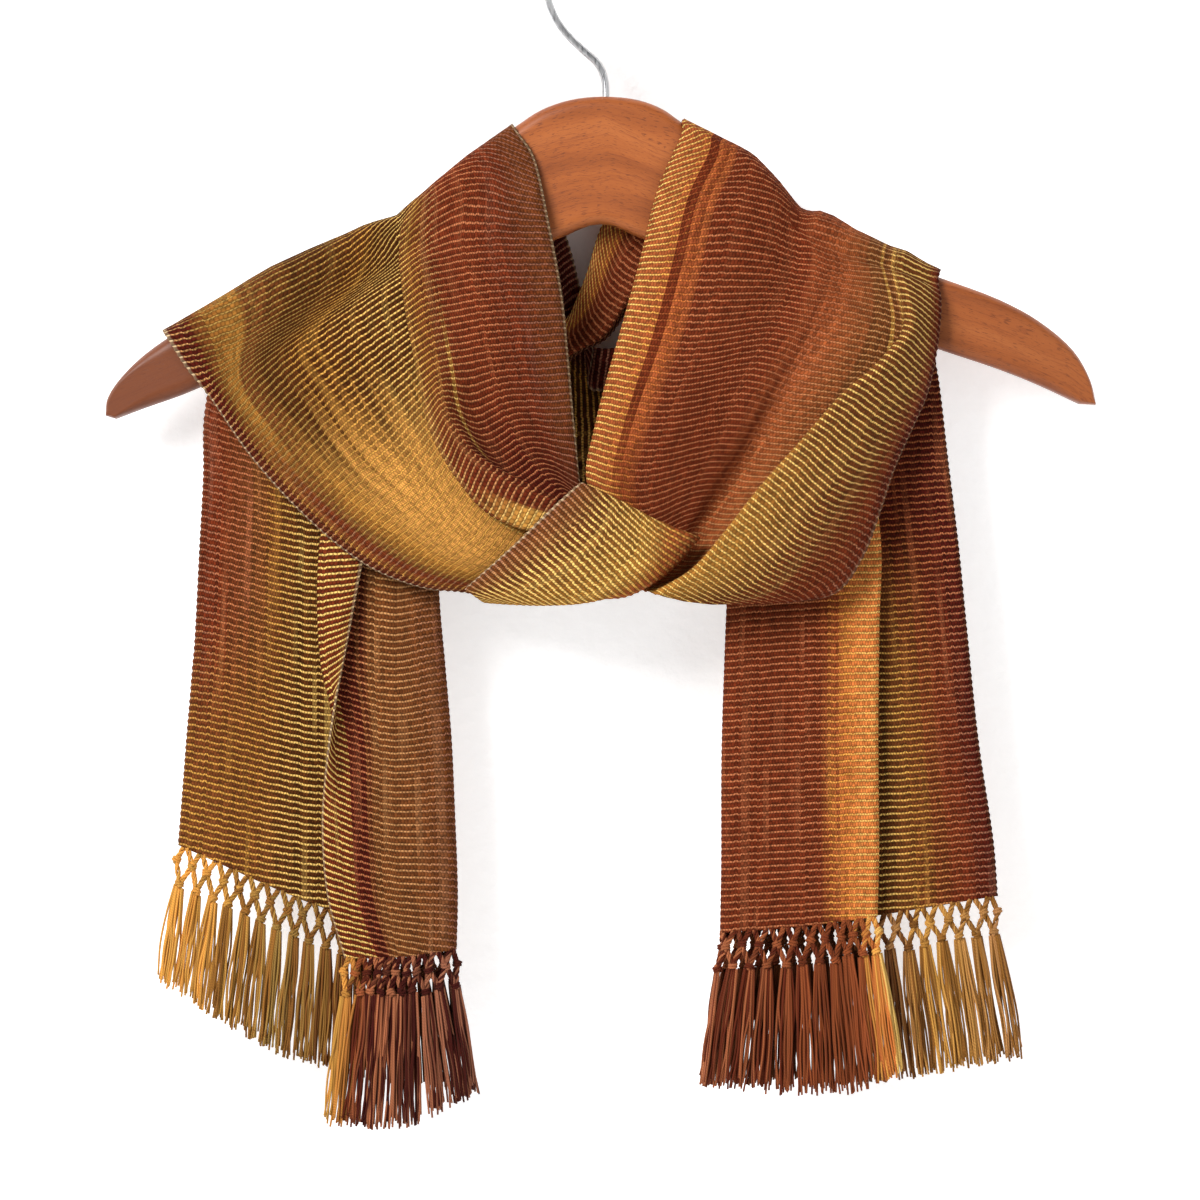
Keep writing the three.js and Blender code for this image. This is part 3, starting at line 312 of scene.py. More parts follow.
# %% The right panel
RIGHT_PANEL = table(
    "neck face brow swell middle crest band hem",
    [
        ((24.2, -13.5, -113.7), (54.6, -19, -120), (88.2, -14.6, -138.8), (94, -21, -140.6),
         (108.3, -19, -147.3), (130.7, -20, -150.9), (143.7, -18, -156.7), (151.3, -13.5, -162.5),
         dict(turn=15, tuck=0.5)),
        ((16.6, -17, -144.6), (47.9, -25, -149.1), (85.1, -20.4, -156.2), (91.3, -26.6, -158.5),
         (105.2, -25, -162.5), (131.6, -30, -172.4), (142.4, -28, -178.6), (149.5, -18, -182.7),
         dict(turn=90, tuck=2)),
        ((7.6, -21, -177.3), (38.9, -29.5, -181.8), (75.7, -25, -177.7), (83.7, -29.6, -179.5),
         (94.9, -28, -183.6), (122.2, -38, -189.4), (135.2, -36.5, -197.9), (144.6, -21, -205),
         dict(turn=150, tuck=6)),
        ((0.4, -25, -202.8), (29.1, -32, -206.4), (63.1, -27, -201), (71.6, -29.6, -202.8),
         (80.1, -29, -205.5), (105.2, -42, -207.3), (120.9, -41, -216.7), (136.5, -24, -223.4),
         dict(turn=180, tuck=12)),
        ((-4.5, -28, -223), (21.9, -33, -226.5), (53.3, -26, -223.4), (60.4, -26.6, -224.7),
         (67.2, -26.5, -226.1), (86.9, -45, -227.9), (107.4, -45, -240.4), (129.8, -27, -238.6),
         dict(turn=180, tuck=14)),
        ((-7.6, -30.5, -238.6), (17.5, -33.5, -244.4), (43.4, -26.5, -243.1), (48.8, -25.5, -244.4),
         (54.2, -25, -245.8), (68.9, -47, -248), (91.8, -47, -262.8), (123.1, -29, -258.8),
         dict(turn=180, tuck=13)),
        ((-5.8, -32.5, -251.2), (18.8, -33.5, -257.4), (36.3, -28.8, -258.8), (39.8, -28, -260.1),
         (43.4, -27.2, -261.5), (53.7, -48, -267.3), (79.2, -48, -280.7), (116, -31, -277.1),
         dict(turn=180, tuck=11)),
        ((-2.2, -33.5, -264.6), (16.6, -33.5, -272.2), (27.3, -31.2, -275.3), (29.8, -31, -276.7),
         (32.2, -31, -278), (38.9, -48, -282.5), (64.5, -46, -292.3), (104.3, -31.5, -293.2),
         dict(turn=160, tuck=6)),
        ((0.4, -34, -277.1), (8.5, -34, -283.4), (13, -33.5, -287.4), (14.3, -33.8, -288.3),
         (15.7, -34, -289.2), (19.3, -45, -292.8), (44.3, -42, -298.2), (83.7, -31.5, -297.7),
         dict(turn=110, tuck=2)),
    ],
)
print("right panel:", len(RIGHT_PANEL), "rows")

# %% [markdown]
# Along the bottom the strip turns over itself. Only this short, tight roll shows, from the pocket between the
# panels to the lower edge on the left.

# %% The crossing
CROSSING = table(
    "edge crown turn under",
    [
        ((-8.5, -38.3, -247.1), (8.5, -39, -255.6), (24.2, -36.4, -264.1), (41.6, -33.2, -271.3)),
        ((-9.4, -41, -244.9), (7.6, -41.5, -253), (23.7, -38.6, -261.5), (43, -35.2, -269.1)),
        ((-18.4, -44.5, -252.1), (2.2, -49, -266.8), (21, -47.5, -280.3), (28.7, -42.5, -284.7)),
        ((-27.3, -47, -260.6), (-8.1, -53, -277.1), (6.7, -49.5, -291.9), (10.7, -42.5, -295)),
        ((-37.2, -48, -270.4), (-21.5, -54, -285.2), (-6.7, -49, -297.7), (-4, -42, -295.9)),
        ((-46.1, -48, -278.5), (-33.6, -52, -291), (-25.1, -46, -299.1), (-22.8, -40.5, -296.8)),
        ((-54.2, -46, -285.6), (-44.8, -47, -295), (-39.8, -43, -298.6), (-38.1, -38.5, -296.8)),
        ((-61.3, -41.5, -291.9), (-55.5, -41.5, -295.9), (-52.4, -39.5, -297.7), (-50.6, -37, -296.4)),
    ],
)
print("crossing:", len(CROSSING), "rows")

# %% [markdown]
# Each tail is the strip doubled lengthwise, with its fold towards the middle. The left one also turns a
# narrow flap along its free edge, which opens towards the top; the right one hangs plain.

# %% The two tails
LEFT_TAIL = table(
    "free crease front fold back selvedge",
    [
        ((-115.5, -21.5, -456.7), (-103.4, -21, -456.9), (-86.4, -20, -456.2), (-65.8, -16, -453.1),
         (-128.9, -12, -433.4), (-190.3, -13, -406.5), dict(flap=0)),
        ((-123.1, -23, -428.9), (-112.4, -22, -430.2), (-90.9, -20, -430.2), (-65.4, -16, -426.7),
         (-128.9, -12, -409.6), (-188.5, -13, -384.1), dict(flap=0)),
        ((-125.4, -24, -395.3), (-115.1, -22.3, -396.2), (-93.1, -20, -396.2), (-66.7, -16, -391.7),
         (-128.9, -11.5, -384.1), (-186.7, -12.5, -360), dict(flap=0)),
        ((-122.2, -28, -361.7), (-117.7, -21.5, -362.6), (-93.1, -20, -363.1), (-68.5, -15.8, -357.3),
         (-128.9, -11, -358.6), (-184.9, -12, -338.5), dict(flap=2)),
        ((-119.1, -28.5, -341.6), (-121.8, -21.3, -342.9), (-93.1, -19.3, -347), (-69.8, -15.6, -341.6),
         (-128.9, -10.9, -346.1), (-184, -11.8, -327.3), dict(flap=2.4)),
        ((-115.1, -25.5, -322.3), (-125.8, -21.5, -324.6), (-93.1, -18.5, -329.1),
         (-71.2, -15.3, -324.6), (-128.9, -10.8, -333.5), (-183.1, -11.5, -317.4), dict(flap=2)),
        ((-107, -23, -279.4), (-127.1, -19, -281.2), (-92.7, -16.8, -290.1), (-73.9, -14.3, -287.9),
         (-128.9, -10.5, -288.8), (-180.9, -11, -274.4), dict(flap=2)),
        ((-98.9, -19.5, -240.9), (-120.9, -16, -238.6), (-91.8, -14.5, -239.5), (-72.5, -12.6, -239.5),
         (-128.9, -10, -243.1), (-179.1, -10.3, -238.6), dict(flap=1.5, edge_r=2.4)),
        ((-113.3, -20, -207.3), (-112.4, -14, -205.9), (-93.1, -13.2, -205), (-79.7, -11.6, -200.6),
         (-135.7, -9.8, -216.2), (-179.1, -9.8, -218.5), dict(flap=0.8, edge_r=1.6)),
    ],
)
RIGHT_TAIL = table(
    "free crease front fold back selvedge",
    [
        ((122.7, -20, -438.3), (106.1, -20.7, -440.5), (83.7, -20, -443.2), (52.8, -16, -445.5),
         (115.1, -12, -439.2), (176.8, -13, -429.3)),
        ((123.4, -20, -411.4), (106.1, -20.8, -413.2), (83.7, -20, -415), (53.3, -16, -416.8),
         (115.1, -12, -412.3), (175.1, -13, -406.5)),
        ((123.1, -19.5, -360), (105.2, -20.3, -361.7), (83.7, -19.5, -363.1), (53.5, -15.5, -364.9),
         (112.8, -11.5, -362.2), (168.3, -12.5, -360)),
        ((123.6, -19, -308.5), (105.2, -19.7, -310.3), (83.7, -18.7, -312), (55.1, -15, -314.7),
         (110.6, -11, -312), (163, -11.7, -308.5)),
        ((124.5, -18, -274.4), (105.2, -18.6, -275.3), (83.7, -17.8, -277.1), (56.4, -14.4, -278.9),
         (108.3, -10.6, -276.2), (159.4, -11.2, -272.2)),
        ((120.4, -16.2, -236.4), (102.5, -16.6, -235), (81.5, -15.9, -236.4), (56, -13.2, -237.3),
         (105.2, -10.2, -237.7), (154.5, -10.6, -231.9), dict(edge_r=2.6)),
        ((115.1, -13.8, -200.6), (99.4, -13.6, -198.3), (81.5, -13, -196.1), (63.6, -11.4, -193.9),
         (112.8, -9.8, -203.7), (150.9, -9.9, -200.6), dict(edge_r=1.6)),
    ],
)
print("tails:", len(LEFT_TAIL), "and", len(RIGHT_TAIL), "rows")

# %% [markdown]
# Behind the hanger two stretches cross from arm to arm. They sag under the arch with a deep tuck in the
# middle, and the far one turns a cuff over its upper edge.

# %% Behind the hanger
BACK_NEAR = table(
    "upper at lower",
    [
        ((-54.2, 10, -137.9), (-86.4, 10.2, -173.7), (-124.5, 10.4, -209.5), dict(turn=50, tuck=1)),
        ((-36.3, 9.9, -163.4), (-50.6, 11.1, -200.6), (-66.3, 14.8, -223), dict(turn=135, tuck=4)),
        ((-23.7, 10, -173.3), (-26, 11.2, -192.1), (-28.2, 15.6, -200.6), dict(turn=180, tuck=12)),
        ((-16.1, 10, -169.2), (-10.7, 11.2, -183.6), (-9.8, 15.4, -184.9), dict(turn=180, tuck=10)),
        ((-11.6, 10, -159.8), (0, 11.2, -177.7), (1.3, 15.4, -179.1), dict(turn=180, tuck=12)),
        ((-7.6, 10, -150), (8.5, 11.2, -166.1), (10.3, 15.4, -167.9), dict(turn=180, tuck=13)),
        ((-0.4, 10, -127.6), (22.8, 11.2, -145.5), (25.5, 15.4, -148.2), dict(turn=180, tuck=13)),
        ((11.2, 10, -109.7), (43.4, 11.6, -132.1), (53.3, 15.6, -140.1), dict(turn=150, tuck=6)),
        ((21.9, 9.9, -99.8), (60.4, 12.2, -127.6), (90.9, 14.5, -149.5), dict(turn=60, tuck=1)),
    ],
)
BACK_FAR = table(
    "cuff rim body at lower",
    [
        ((-15.7, 16.5, -134.8), (-27.3, 17.2, -143.7), (-55.1, 19.2, -180.4), (-90.9, 19.5, -220.7),
         (-137.9, 17.5, -249.8), dict(cuff_r=0, turn=50, tuck=1)),
        ((-10.3, 17.6, -155.4), (-21.9, 19, -164.3), (-37.2, 20.6, -202.8), (-59.5, 21.4, -247.6),
         (-88.6, 24, -276.7), dict(cuff_r=0.7, turn=150, tuck=5)),
        ((-4.5, 16.9, -183.6), (-13.4, 19.9, -174.6), (-17, 21.4, -220.7), (-26, 22.2, -265.5),
         (-39.4, 26.4, -290.1), dict(cuff_r=0.7, turn=180, tuck=12)),
        ((-5.8, 16.3, -201.5), (-4, 20, -182.7), (-1.3, 21.6, -220.7), (0.9, 21.6, -265.5),
         (0.9, 25.8, -291.5), dict(cuff_r=1.3, turn=180, tuck=14)),
        ((8.5, 15.8, -200.1), (14.8, 17.1, -181.3), (23.3, 18.4, -220.7), (30.9, 19.5, -261),
         (38.9, 23.8, -287), dict(cuff_r=1.3, turn=180, tuck=12)),
        ((30.9, 12.4, -191.6), (36.3, 13.6, -174.2), (50.6, 14.8, -209.5), (65.8, 16, -247.6),
         (77, 19, -272.2), dict(cuff_r=1.2, turn=140, tuck=4)),
        ((50.6, 9.8, -175.9), (53.3, 10.9, -162.5), (70.3, 12, -193.9), (90.4, 12.8, -225.2),
         (110.6, 13, -247.6), dict(cuff_r=1.1, turn=50, tuck=1)),
        ((64.5, 9, -153.6), (62.2, 10.1, -140.1), (83.7, 11.1, -169.2), (106.1, 11.2, -191.6),
         (133, 11, -209.5), dict(cuff_r=1.05, turn=0, tuck=1)),
    ],
)
print("behind the hanger:", len(BACK_NEAR), "and", len(BACK_FAR), "rows")

# %% [markdown]
# ## Over the arms
# Where a stretch passes over an arm, only two numbers matter for each thread: how far along the arm it lies,
# and how far off the wood. The outer wraps ride over the doubled tails, so they lie further out.

# %% Over the arms
OVER_LEFT = {
    "tail": dict(free=(-154, 3.3), crease=(-142, 3.3), front=(-128, 3.3), fold=(-113, 2.15),
                 back=(-150, 1), selvedge=(-184, 1)),
    "panel": dict(neck=(-39.8, 1.3), face=(-63, 1.4), pocket=(-74, 1.5), ridge=(-81, 1.6),
                  lip=(-88, 1.9), belly=(-107, 5.4), edge=(-195.5, 3.7)),
    "brink": dict(neck=(-39.8, 1.3), face=(-63, 1.8), pocket=(-76, 2.6), ridge=(-85, 3.4),
                  lip=(-92.5, 3.7), belly=(-110, 5.4), edge=(-195.5, 3.7)),
    "chest": dict(neck=(-39.8, 2), face=(-67, 3.4), pocket=(-82, 5), ridge=(-91.5, 7.4),
                  lip=(-98.5, 7.6), belly=(-118, 5.2), edge=(-195.5, 3.7)),
    "near": dict(upper=(-114, 2), at=(-150, 2), lower=(-185, 2)),
    "far": dict(cuff=(-39.8, 1.3), rim=(-50, 1.3), body=(-86, 1.9), at=(-112, 5.4), lower=(-195.5, 3.7)),
}
OVER_RIGHT = {
    "tail": dict(free=(112, 3.3), crease=(98, 3.3), front=(86, 3.3), fold=(73, 2.15),
                 back=(112, 1), selvedge=(145, 1)),
    "panel": dict(neck=(35.5, 1.5), face=(60, 4.8), brow=(80, 5.5), swell=(90, 5.5), middle=(105, 5.4),
                  crest=(131, 5), band=(143.5, 3.8), hem=(150.5, 3)),
    "brink": dict(neck=(35.5, 1.5), face=(62, 5.2), brow=(87, 5.3), swell=(93, 8.2), middle=(106, 8.2),
                  crest=(131, 5.6), band=(143.5, 3.8), hem=(150.5, 3)),
    "near": dict(upper=(35.5, 1.5), at=(72, 5.5), lower=(150.5, 4.8)),
    "far": dict(cuff=(90, 0.95), rim=(79, 2), body=(100, 3.05), at=(124, 3.05), lower=(141, 2.2)),
}
ROUNDS = list(range(LAST_ROUND + 1))
BACK_START = 1.9  # the stretches behind start this far below the last round
END = LAST_ROUND + BACK_START / ARM_SIDE
FLAT = dict(turn=0, tuck=1, cuff_r=0)
DOUBLED = dict(flap=0, edge_r=1.15)


def over_arm(top, rounds, extra):
    points = {name: np.array([x, -off, 0.0]) for name, (x, off) in top.items()}
    return [{**extra, **points, "round": r} for r in rounds]


print("rounds over an arm:", len(ROUNDS))


# %% [markdown]
# ## One line across each stretch
# The panels roll back at a lip or swell at a crest, the tails are doubled lengthwise, and the far stretch
# behind the hanger turns a cuff over. Each is one small function from a table's row to a line of points.


# %% Lines across
BEFORE_TUCK = 0.55  # where the near stretch has one more point, between its upper edge and its tuck


def left_line(r):
    lip = tucked(r["face"], r["lip"], r["belly"], r["turn"], r["tuck"], 1, TURN, TURN)
    return [r["neck"], r["face"], r["pocket"], r["ridge"], *lip, r["belly"], r["edge"]]


def right_line(r):
    crest = tucked(r["middle"], r["crest"], r["band"], r["turn"], r["tuck"], -1, TURN, ROLL)
    return [r["neck"], r["face"], r["brow"], r["swell"], r["middle"], *crest, r["band"], r["hem"]]


def crossing_line(r):
    return [r["edge"], r["crown"], r["turn"], r["under"]]


def tail_line(r):
    flap = bent(r["free"], r["crease"], r["front"], r.get("flap", 0))
    fold = creased(r["front"], r["fold"], r["back"], r.get("edge_r", EDGE))
    return [r["free"], *flap, r["front"], *fold, r["back"], r["selvedge"]]


def near_line(r):
    tuck = tucked(r["upper"], r["at"], r["lower"], r["turn"], r["tuck"], 1, LOOSE, LOOSE)
    return [r["upper"], between(r["upper"], r["at"], BEFORE_TUCK), *tuck, r["lower"]]


def far_line(r):
    cuff = bent(r["cuff"], r["rim"], r["body"], r["cuff_r"])
    tuck = tucked(r["body"], r["at"], r["lower"], r["turn"], r["tuck"], 1, LOOSE, LOOSE)
    return [r["cuff"], *cuff, r["body"], *tuck, r["lower"]]


print("points across the left panel:", len(left_line(LEFT_PANEL[0])))


# %% [markdown]
# ## A grid of points for a stretch
# Each row is smoothed across, then each thread is smoothed along. The number of steps between two points
# follows from their distance, fine enough along the cloth to carry the ribs as real relief. The running
# lengths are kept too: they tell the weave how far across and how far along the strip each point lies. The
# ribs are evenly spaced along every single thread, so the length along is measured thread by thread, from a
# row in the middle of the stretch where the ribs lie as the row does.

# %% Grids
RIB = 3.0
STEP_ALONG = RIB / 4
STEP_ACROSS = 3.2
WIDE_GAPS = 75  # the steps suit this percentile of the gaps between two lines


def steps_between(points, size, least):
    gaps = np.linalg.norm(np.diff(points, axis=0), axis=-1)
    gaps = gaps if gaps.ndim == 1 else np.percentile(gaps, WIDE_GAPS, axis=1)
    return [max(least, int(round(g / size))) for g in gaps]


def running(points):
    gaps = np.linalg.norm(np.diff(points, axis=0), axis=-1)
    return np.concatenate([[0], np.cumsum(gaps.mean(axis=1))])


def along_threads(points, across):
    """Length along each thread from the middle row, evened out across so that the ribs stay smooth."""
    gaps = np.linalg.norm(np.diff(points, axis=0), axis=-1)
    sums = np.concatenate([np.zeros((1, gaps.shape[1])), np.cumsum(gaps, axis=0)])
    middle = (len(points) - 1) // 2
    sums = sums - sums[middle] + sums[middle].mean()
    powers = np.vander(across / across[-1], 4)
    return (powers @ np.linalg.lstsq(powers, sums.T, rcond=None)[0]).T


def cloth_grid(line, rows):
    """(points[along, across], across in mm, along in mm for every point)"""
    free = [np.array(line(r)) for r in rows if "round" not in r] or [np.array(line(r)) for r in rows]
    counts = steps_between(np.mean(free, axis=0), STEP_ACROSS, 2)
    lines = []
    for r in rows:
        points = smooth(line(r), counts)
        if "round" in r:
            points = np.array([on_arm(p, r["round"]) for p in points])
        lines.append(points)
    points = smooth(lines, steps_between(np.array(lines), STEP_ALONG, 1))
    across = running(points.transpose(1, 0, 2))
    return points, across, along_threads(points, across)


print("a rib every", RIB, "mm, with a row of points every", STEP_ALONG, "mm")


# %% [markdown]
# ## Creases
# Cloth that has been worn and wound keeps shallow, uneven creases, also where nobody looks. Each one is a
# line on the cloth with a depth and a width, and the points beside it sink along the cloth's normal.


# %% Creases
WANDER = 0.35  # how far a crease strays to its sides, as a part of its width
WAVES = 7
FADE_POWER = 0.6


def normals(points):
    def through(p):
        step = unit(np.diff(p, axis=0))
        return unit(np.concatenate([step[:1], step[:-1] + step[1:], step[-1:]]))

    along = through(points)
    across = through(points.transpose(1, 0, 2)).transpose(1, 0, 2)
    return unit(np.cross(across, along))


def crease_depth(across, along, creases):
    """Depth at each point. A crease is (from across, from along, to across, to along, depth, width)."""
    size = np.array([across[-1], along[-1].mean() - along[0].mean()])
    u = np.broadcast_to(across / size[0], along.shape)
    v = (along - along[0].mean()) / size[1]
    depth = np.zeros_like(u)
    for u0, v0, u1, v1, deep, width in creases:
        start = np.array([u0, v0]) * size
        way = np.array([u1, v1]) * size - start
        length = np.hypot(*way)
        du, dv = u * size[0] - start[0], v * size[1] - start[1]
        t = (du * way[0] + dv * way[1]) / length**2
        stray = WANDER * width * np.sin(t * WAVES + u0 * 20)
        apart = (du * way[1] - dv * way[0]) / length + stray
        fade = np.clip(1 - np.abs(t - 0.5) * 2, 0, 1) ** FADE_POWER
        depth += deep * fade * np.exp(-((apart / width) ** 2))
    return depth


flat = np.stack(np.meshgrid(np.arange(5.0), np.arange(5.0)), -1)
print("normal of a flat piece:", normals(np.insert(flat, 1, 0, axis=-1))[2, 2])


# %% [markdown]
# ## A shell of cloth
# The cloth is a closed skin about 0.9 mm thick. Each thick rib of the weave stands a little proud on both
# faces, and the weft loops make the two selvedges slightly bumpy. Across and along go into a UV map.

# %% Shells
CLOTH = 0.9  # thickness
RIB_RELIEF = 0.13
LOOP_RELIEF = 0.22


def write_mesh(name, verts, faces, uvs, shades=None):
    """A smooth mesh of four-sided faces; the thread map, where there is one, tells threads apart."""
    mesh = bpy.data.meshes.new(name)
    mesh.vertices.add(len(verts))
    mesh.vertices.foreach_set("co", (np.asarray(verts) * MM).ravel())
    mesh.loops.add(faces.size)
    mesh.loops.foreach_set("vertex_index", faces.ravel())
    mesh.polygons.add(len(faces))
    mesh.polygons.foreach_set("loop_start", np.arange(0, faces.size, 4))
    mesh.polygons.foreach_set("use_smooth", np.ones(len(faces), bool))
    for label, values in {"cloth": uvs, "thread": shades}.items():
        if values is not None:
            layer = mesh.uv_layers.new(name=label)
            layer.data.foreach_set("uv", np.asarray(values)[faces.ravel()].ravel())
    mesh.update(calc_edges=True)
    mesh.validate()
    return mesh


def add_object(name, data):
    obj = bpy.data.objects.new(name, data)
    bpy.context.scene.collection.objects.link(obj)
    return obj


def shell(name, points, across, along, creases):
    n = normals(points)
    points = points - n * crease_depth(across, along, creases)[..., None]
    n = normals(points)
    wave = np.cos(2 * math.pi * along / RIB)[..., None]
    swell = CLOTH / 2 + RIB_RELIEF * wave
    sides = [points + n * swell, points - n * swell]
    for j, inner in ((0, 1), (-1, -2)):
        out = unit(points[:, j] - points[:, inner]) * LOOP_RELIEF * wave[:, j]
        for side in sides:
            side[:, j] += out
    rows, cols = points.shape[:2]
    half = rows * cols
    index = np.arange(half).reshape(rows, cols)
    a, b, c, d = index[:-1, :-1], index[:-1, 1:], index[1:, 1:], index[1:, :-1]
    top = np.stack([a, b, c, d], -1).reshape(-1, 4)
    low = np.stack([d, c, b, a], -1).reshape(-1, 4) + half

    def rim(line):
        return np.stack([line[1:], line[:-1], line[:-1] + half, line[1:] + half], -1)

    rims = [rim(index[0]), rim(index[-1][::-1]), rim(index[::-1, 0]), rim(index[:, -1])]
    faces = np.concatenate([top, low, *rims])
    uv = np.stack([np.broadcast_to(across, along.shape), along], -1).reshape(-1, 2)
    verts = np.concatenate([s.reshape(-1, 3) for s in sides])
    obj = add_object(name, write_mesh(name, verts, faces, np.concatenate([uv, uv])))
    obj["across"] = float(across[-1])
    obj["along"] = float(along[-1].mean() - along[0].mean())
    print(name, round(obj["across"]), "x", round(obj["along"]), "mm,", 2 * len(faces), "triangles")
    return obj


print("cloth", CLOTH, "mm thick, and", round(CLOTH + 2 * RIB_RELIEF, 2), "mm on a thick rib")


# %% [markdown]
# ## The seven stretches
# Now the strip can be made, one stretch at a time, each from its table and its way over the arms. Every
# stretch takes the place of the plain solid of the same name. Its creases are listed with it.

# %% The seven stretches
BACK = ROUNDS[::-1]
STRETCHES = {
    "tail_left": (tail_line, LEFT_TAIL + over_arm(OVER_LEFT["tail"], ROUNDS, DOUBLED)),
    "tail_right": (tail_line, RIGHT_TAIL + over_arm(OVER_RIGHT["tail"], ROUNDS, DOUBLED)),
    "front_left": (left_line, over_arm(OVER_LEFT["panel"], BACK[:6], FLAT)
                   + over_arm(OVER_LEFT["brink"], [1], dict(turn=75, tuck=1))
                   + over_arm(OVER_LEFT["chest"], [0], dict(turn=160, tuck=3)) + LEFT_PANEL),
    "front_right": (right_line, over_arm(OVER_RIGHT["panel"], BACK[:3], FLAT)
                    + over_arm(OVER_RIGHT["brink"], BACK[3:7], FLAT) + RIGHT_PANEL),
    "crossing": (crossing_line, CROSSING),
    "back_near": (near_line, over_arm(OVER_LEFT["near"], [END], FLAT) + BACK_NEAR
                  + over_arm(OVER_RIGHT["near"], [END], FLAT)),
    "back_far": (far_line, over_arm(OVER_LEFT["far"], [END], FLAT) + BACK_FAR
                 + over_arm(OVER_RIGHT["far"], [END], {**FLAT, "cuff_r": -1.05})),
}
CREASES = {
    "tail_left": [
        (0.20, 0.05, 0.24, 0.60, 0.7, 6), (0.32, 0.00, 0.30, 0.45, -0.6, 7), (0.58, 0.05, 0.66, 0.70, 1.0, 8),
        (0.80, 0.10, 0.72, 0.75, -0.9, 9), (0.90, 0.00, 0.93, 0.50, 0.6, 6), (0.55, 0.42, 0.98, 0.47, 0.4, 6),
    ],
    "tail_right": [
        (0.10, 0.05, 0.14, 0.65, 0.6, 6), (0.26, 0.15, 0.22, 0.80, -0.7, 8), (0.62, 0.00, 0.70, 0.70, 0.9, 8),
        (0.84, 0.10, 0.80, 0.80, -0.8, 8), (0.60, 0.55, 0.98, 0.50, 0.4, 6),
    ],
    "front_left": [
        (0.08, 0.35, 0.12, 0.95, 0.5, 5), (0.22, 0.30, 0.26, 0.90, -0.6, 7), (0.60, 0.30, 0.66, 0.98, 0.8, 7),
        (0.74, 0.28, 0.78, 0.92, -0.9, 8), (0.88, 0.30, 0.86, 0.85, 0.7, 7), (0.70, 0.45, 0.95, 0.52, 0.4, 6),
    ],
    "front_right": [
        (0.10, 0.35, 0.14, 0.90, 0.5, 6), (0.24, 0.30, 0.30, 0.85, -0.5, 8), (0.70, 0.30, 0.74, 0.80, 0.4, 5),
        (0.84, 0.32, 0.88, 0.95, 0.6, 6), (0.90, 0.40, 0.94, 0.90, -0.4, 5),
        (0.365, 0.05, 0.56, 1.35, -6.0, 9),  # the valley: on this panel the normal points to the back
    ],
    "crossing": [(0.35, 0.05, 0.55, 0.95, 0.5, 6), (0.70, 0.10, 0.80, 0.90, -0.4, 5)],
    "back_near": [(0.12, 0.10, 0.20, 0.90, 0.5, 6), (0.62, 0.10, 0.80, 0.90, 0.7, 8)],
    "back_far": [
        (0.42, 0.05, 0.40, 0.95, 0.9, 9), (0.56, 0.15, 0.60, 0.85, -0.8, 8), (0.86, 0.10, 0.88, 0.90, 0.9, 9),
        (0.75, 0.20, 0.95, 0.60, 0.5, 6),
    ],
}
pieces = {}
tail_ends = {}
for name, (line, rows) in STRETCHES.items():
    points, across, along = cloth_grid(line, rows)
    pieces[name] = shell(name + "_cloth", points, across, along, CREASES[name])
    if name.startswith("tail"):
        tail_ends[name] = (points[0], across)

# %% [markdown]
# ## Building shaders with code
# A material is a graph, and a graph is easier to read as arithmetic. This small helper lets a socket or a
# plain number go into any input, and gives the usual sums short names, so that the weave below can be written
# almost like a formula.


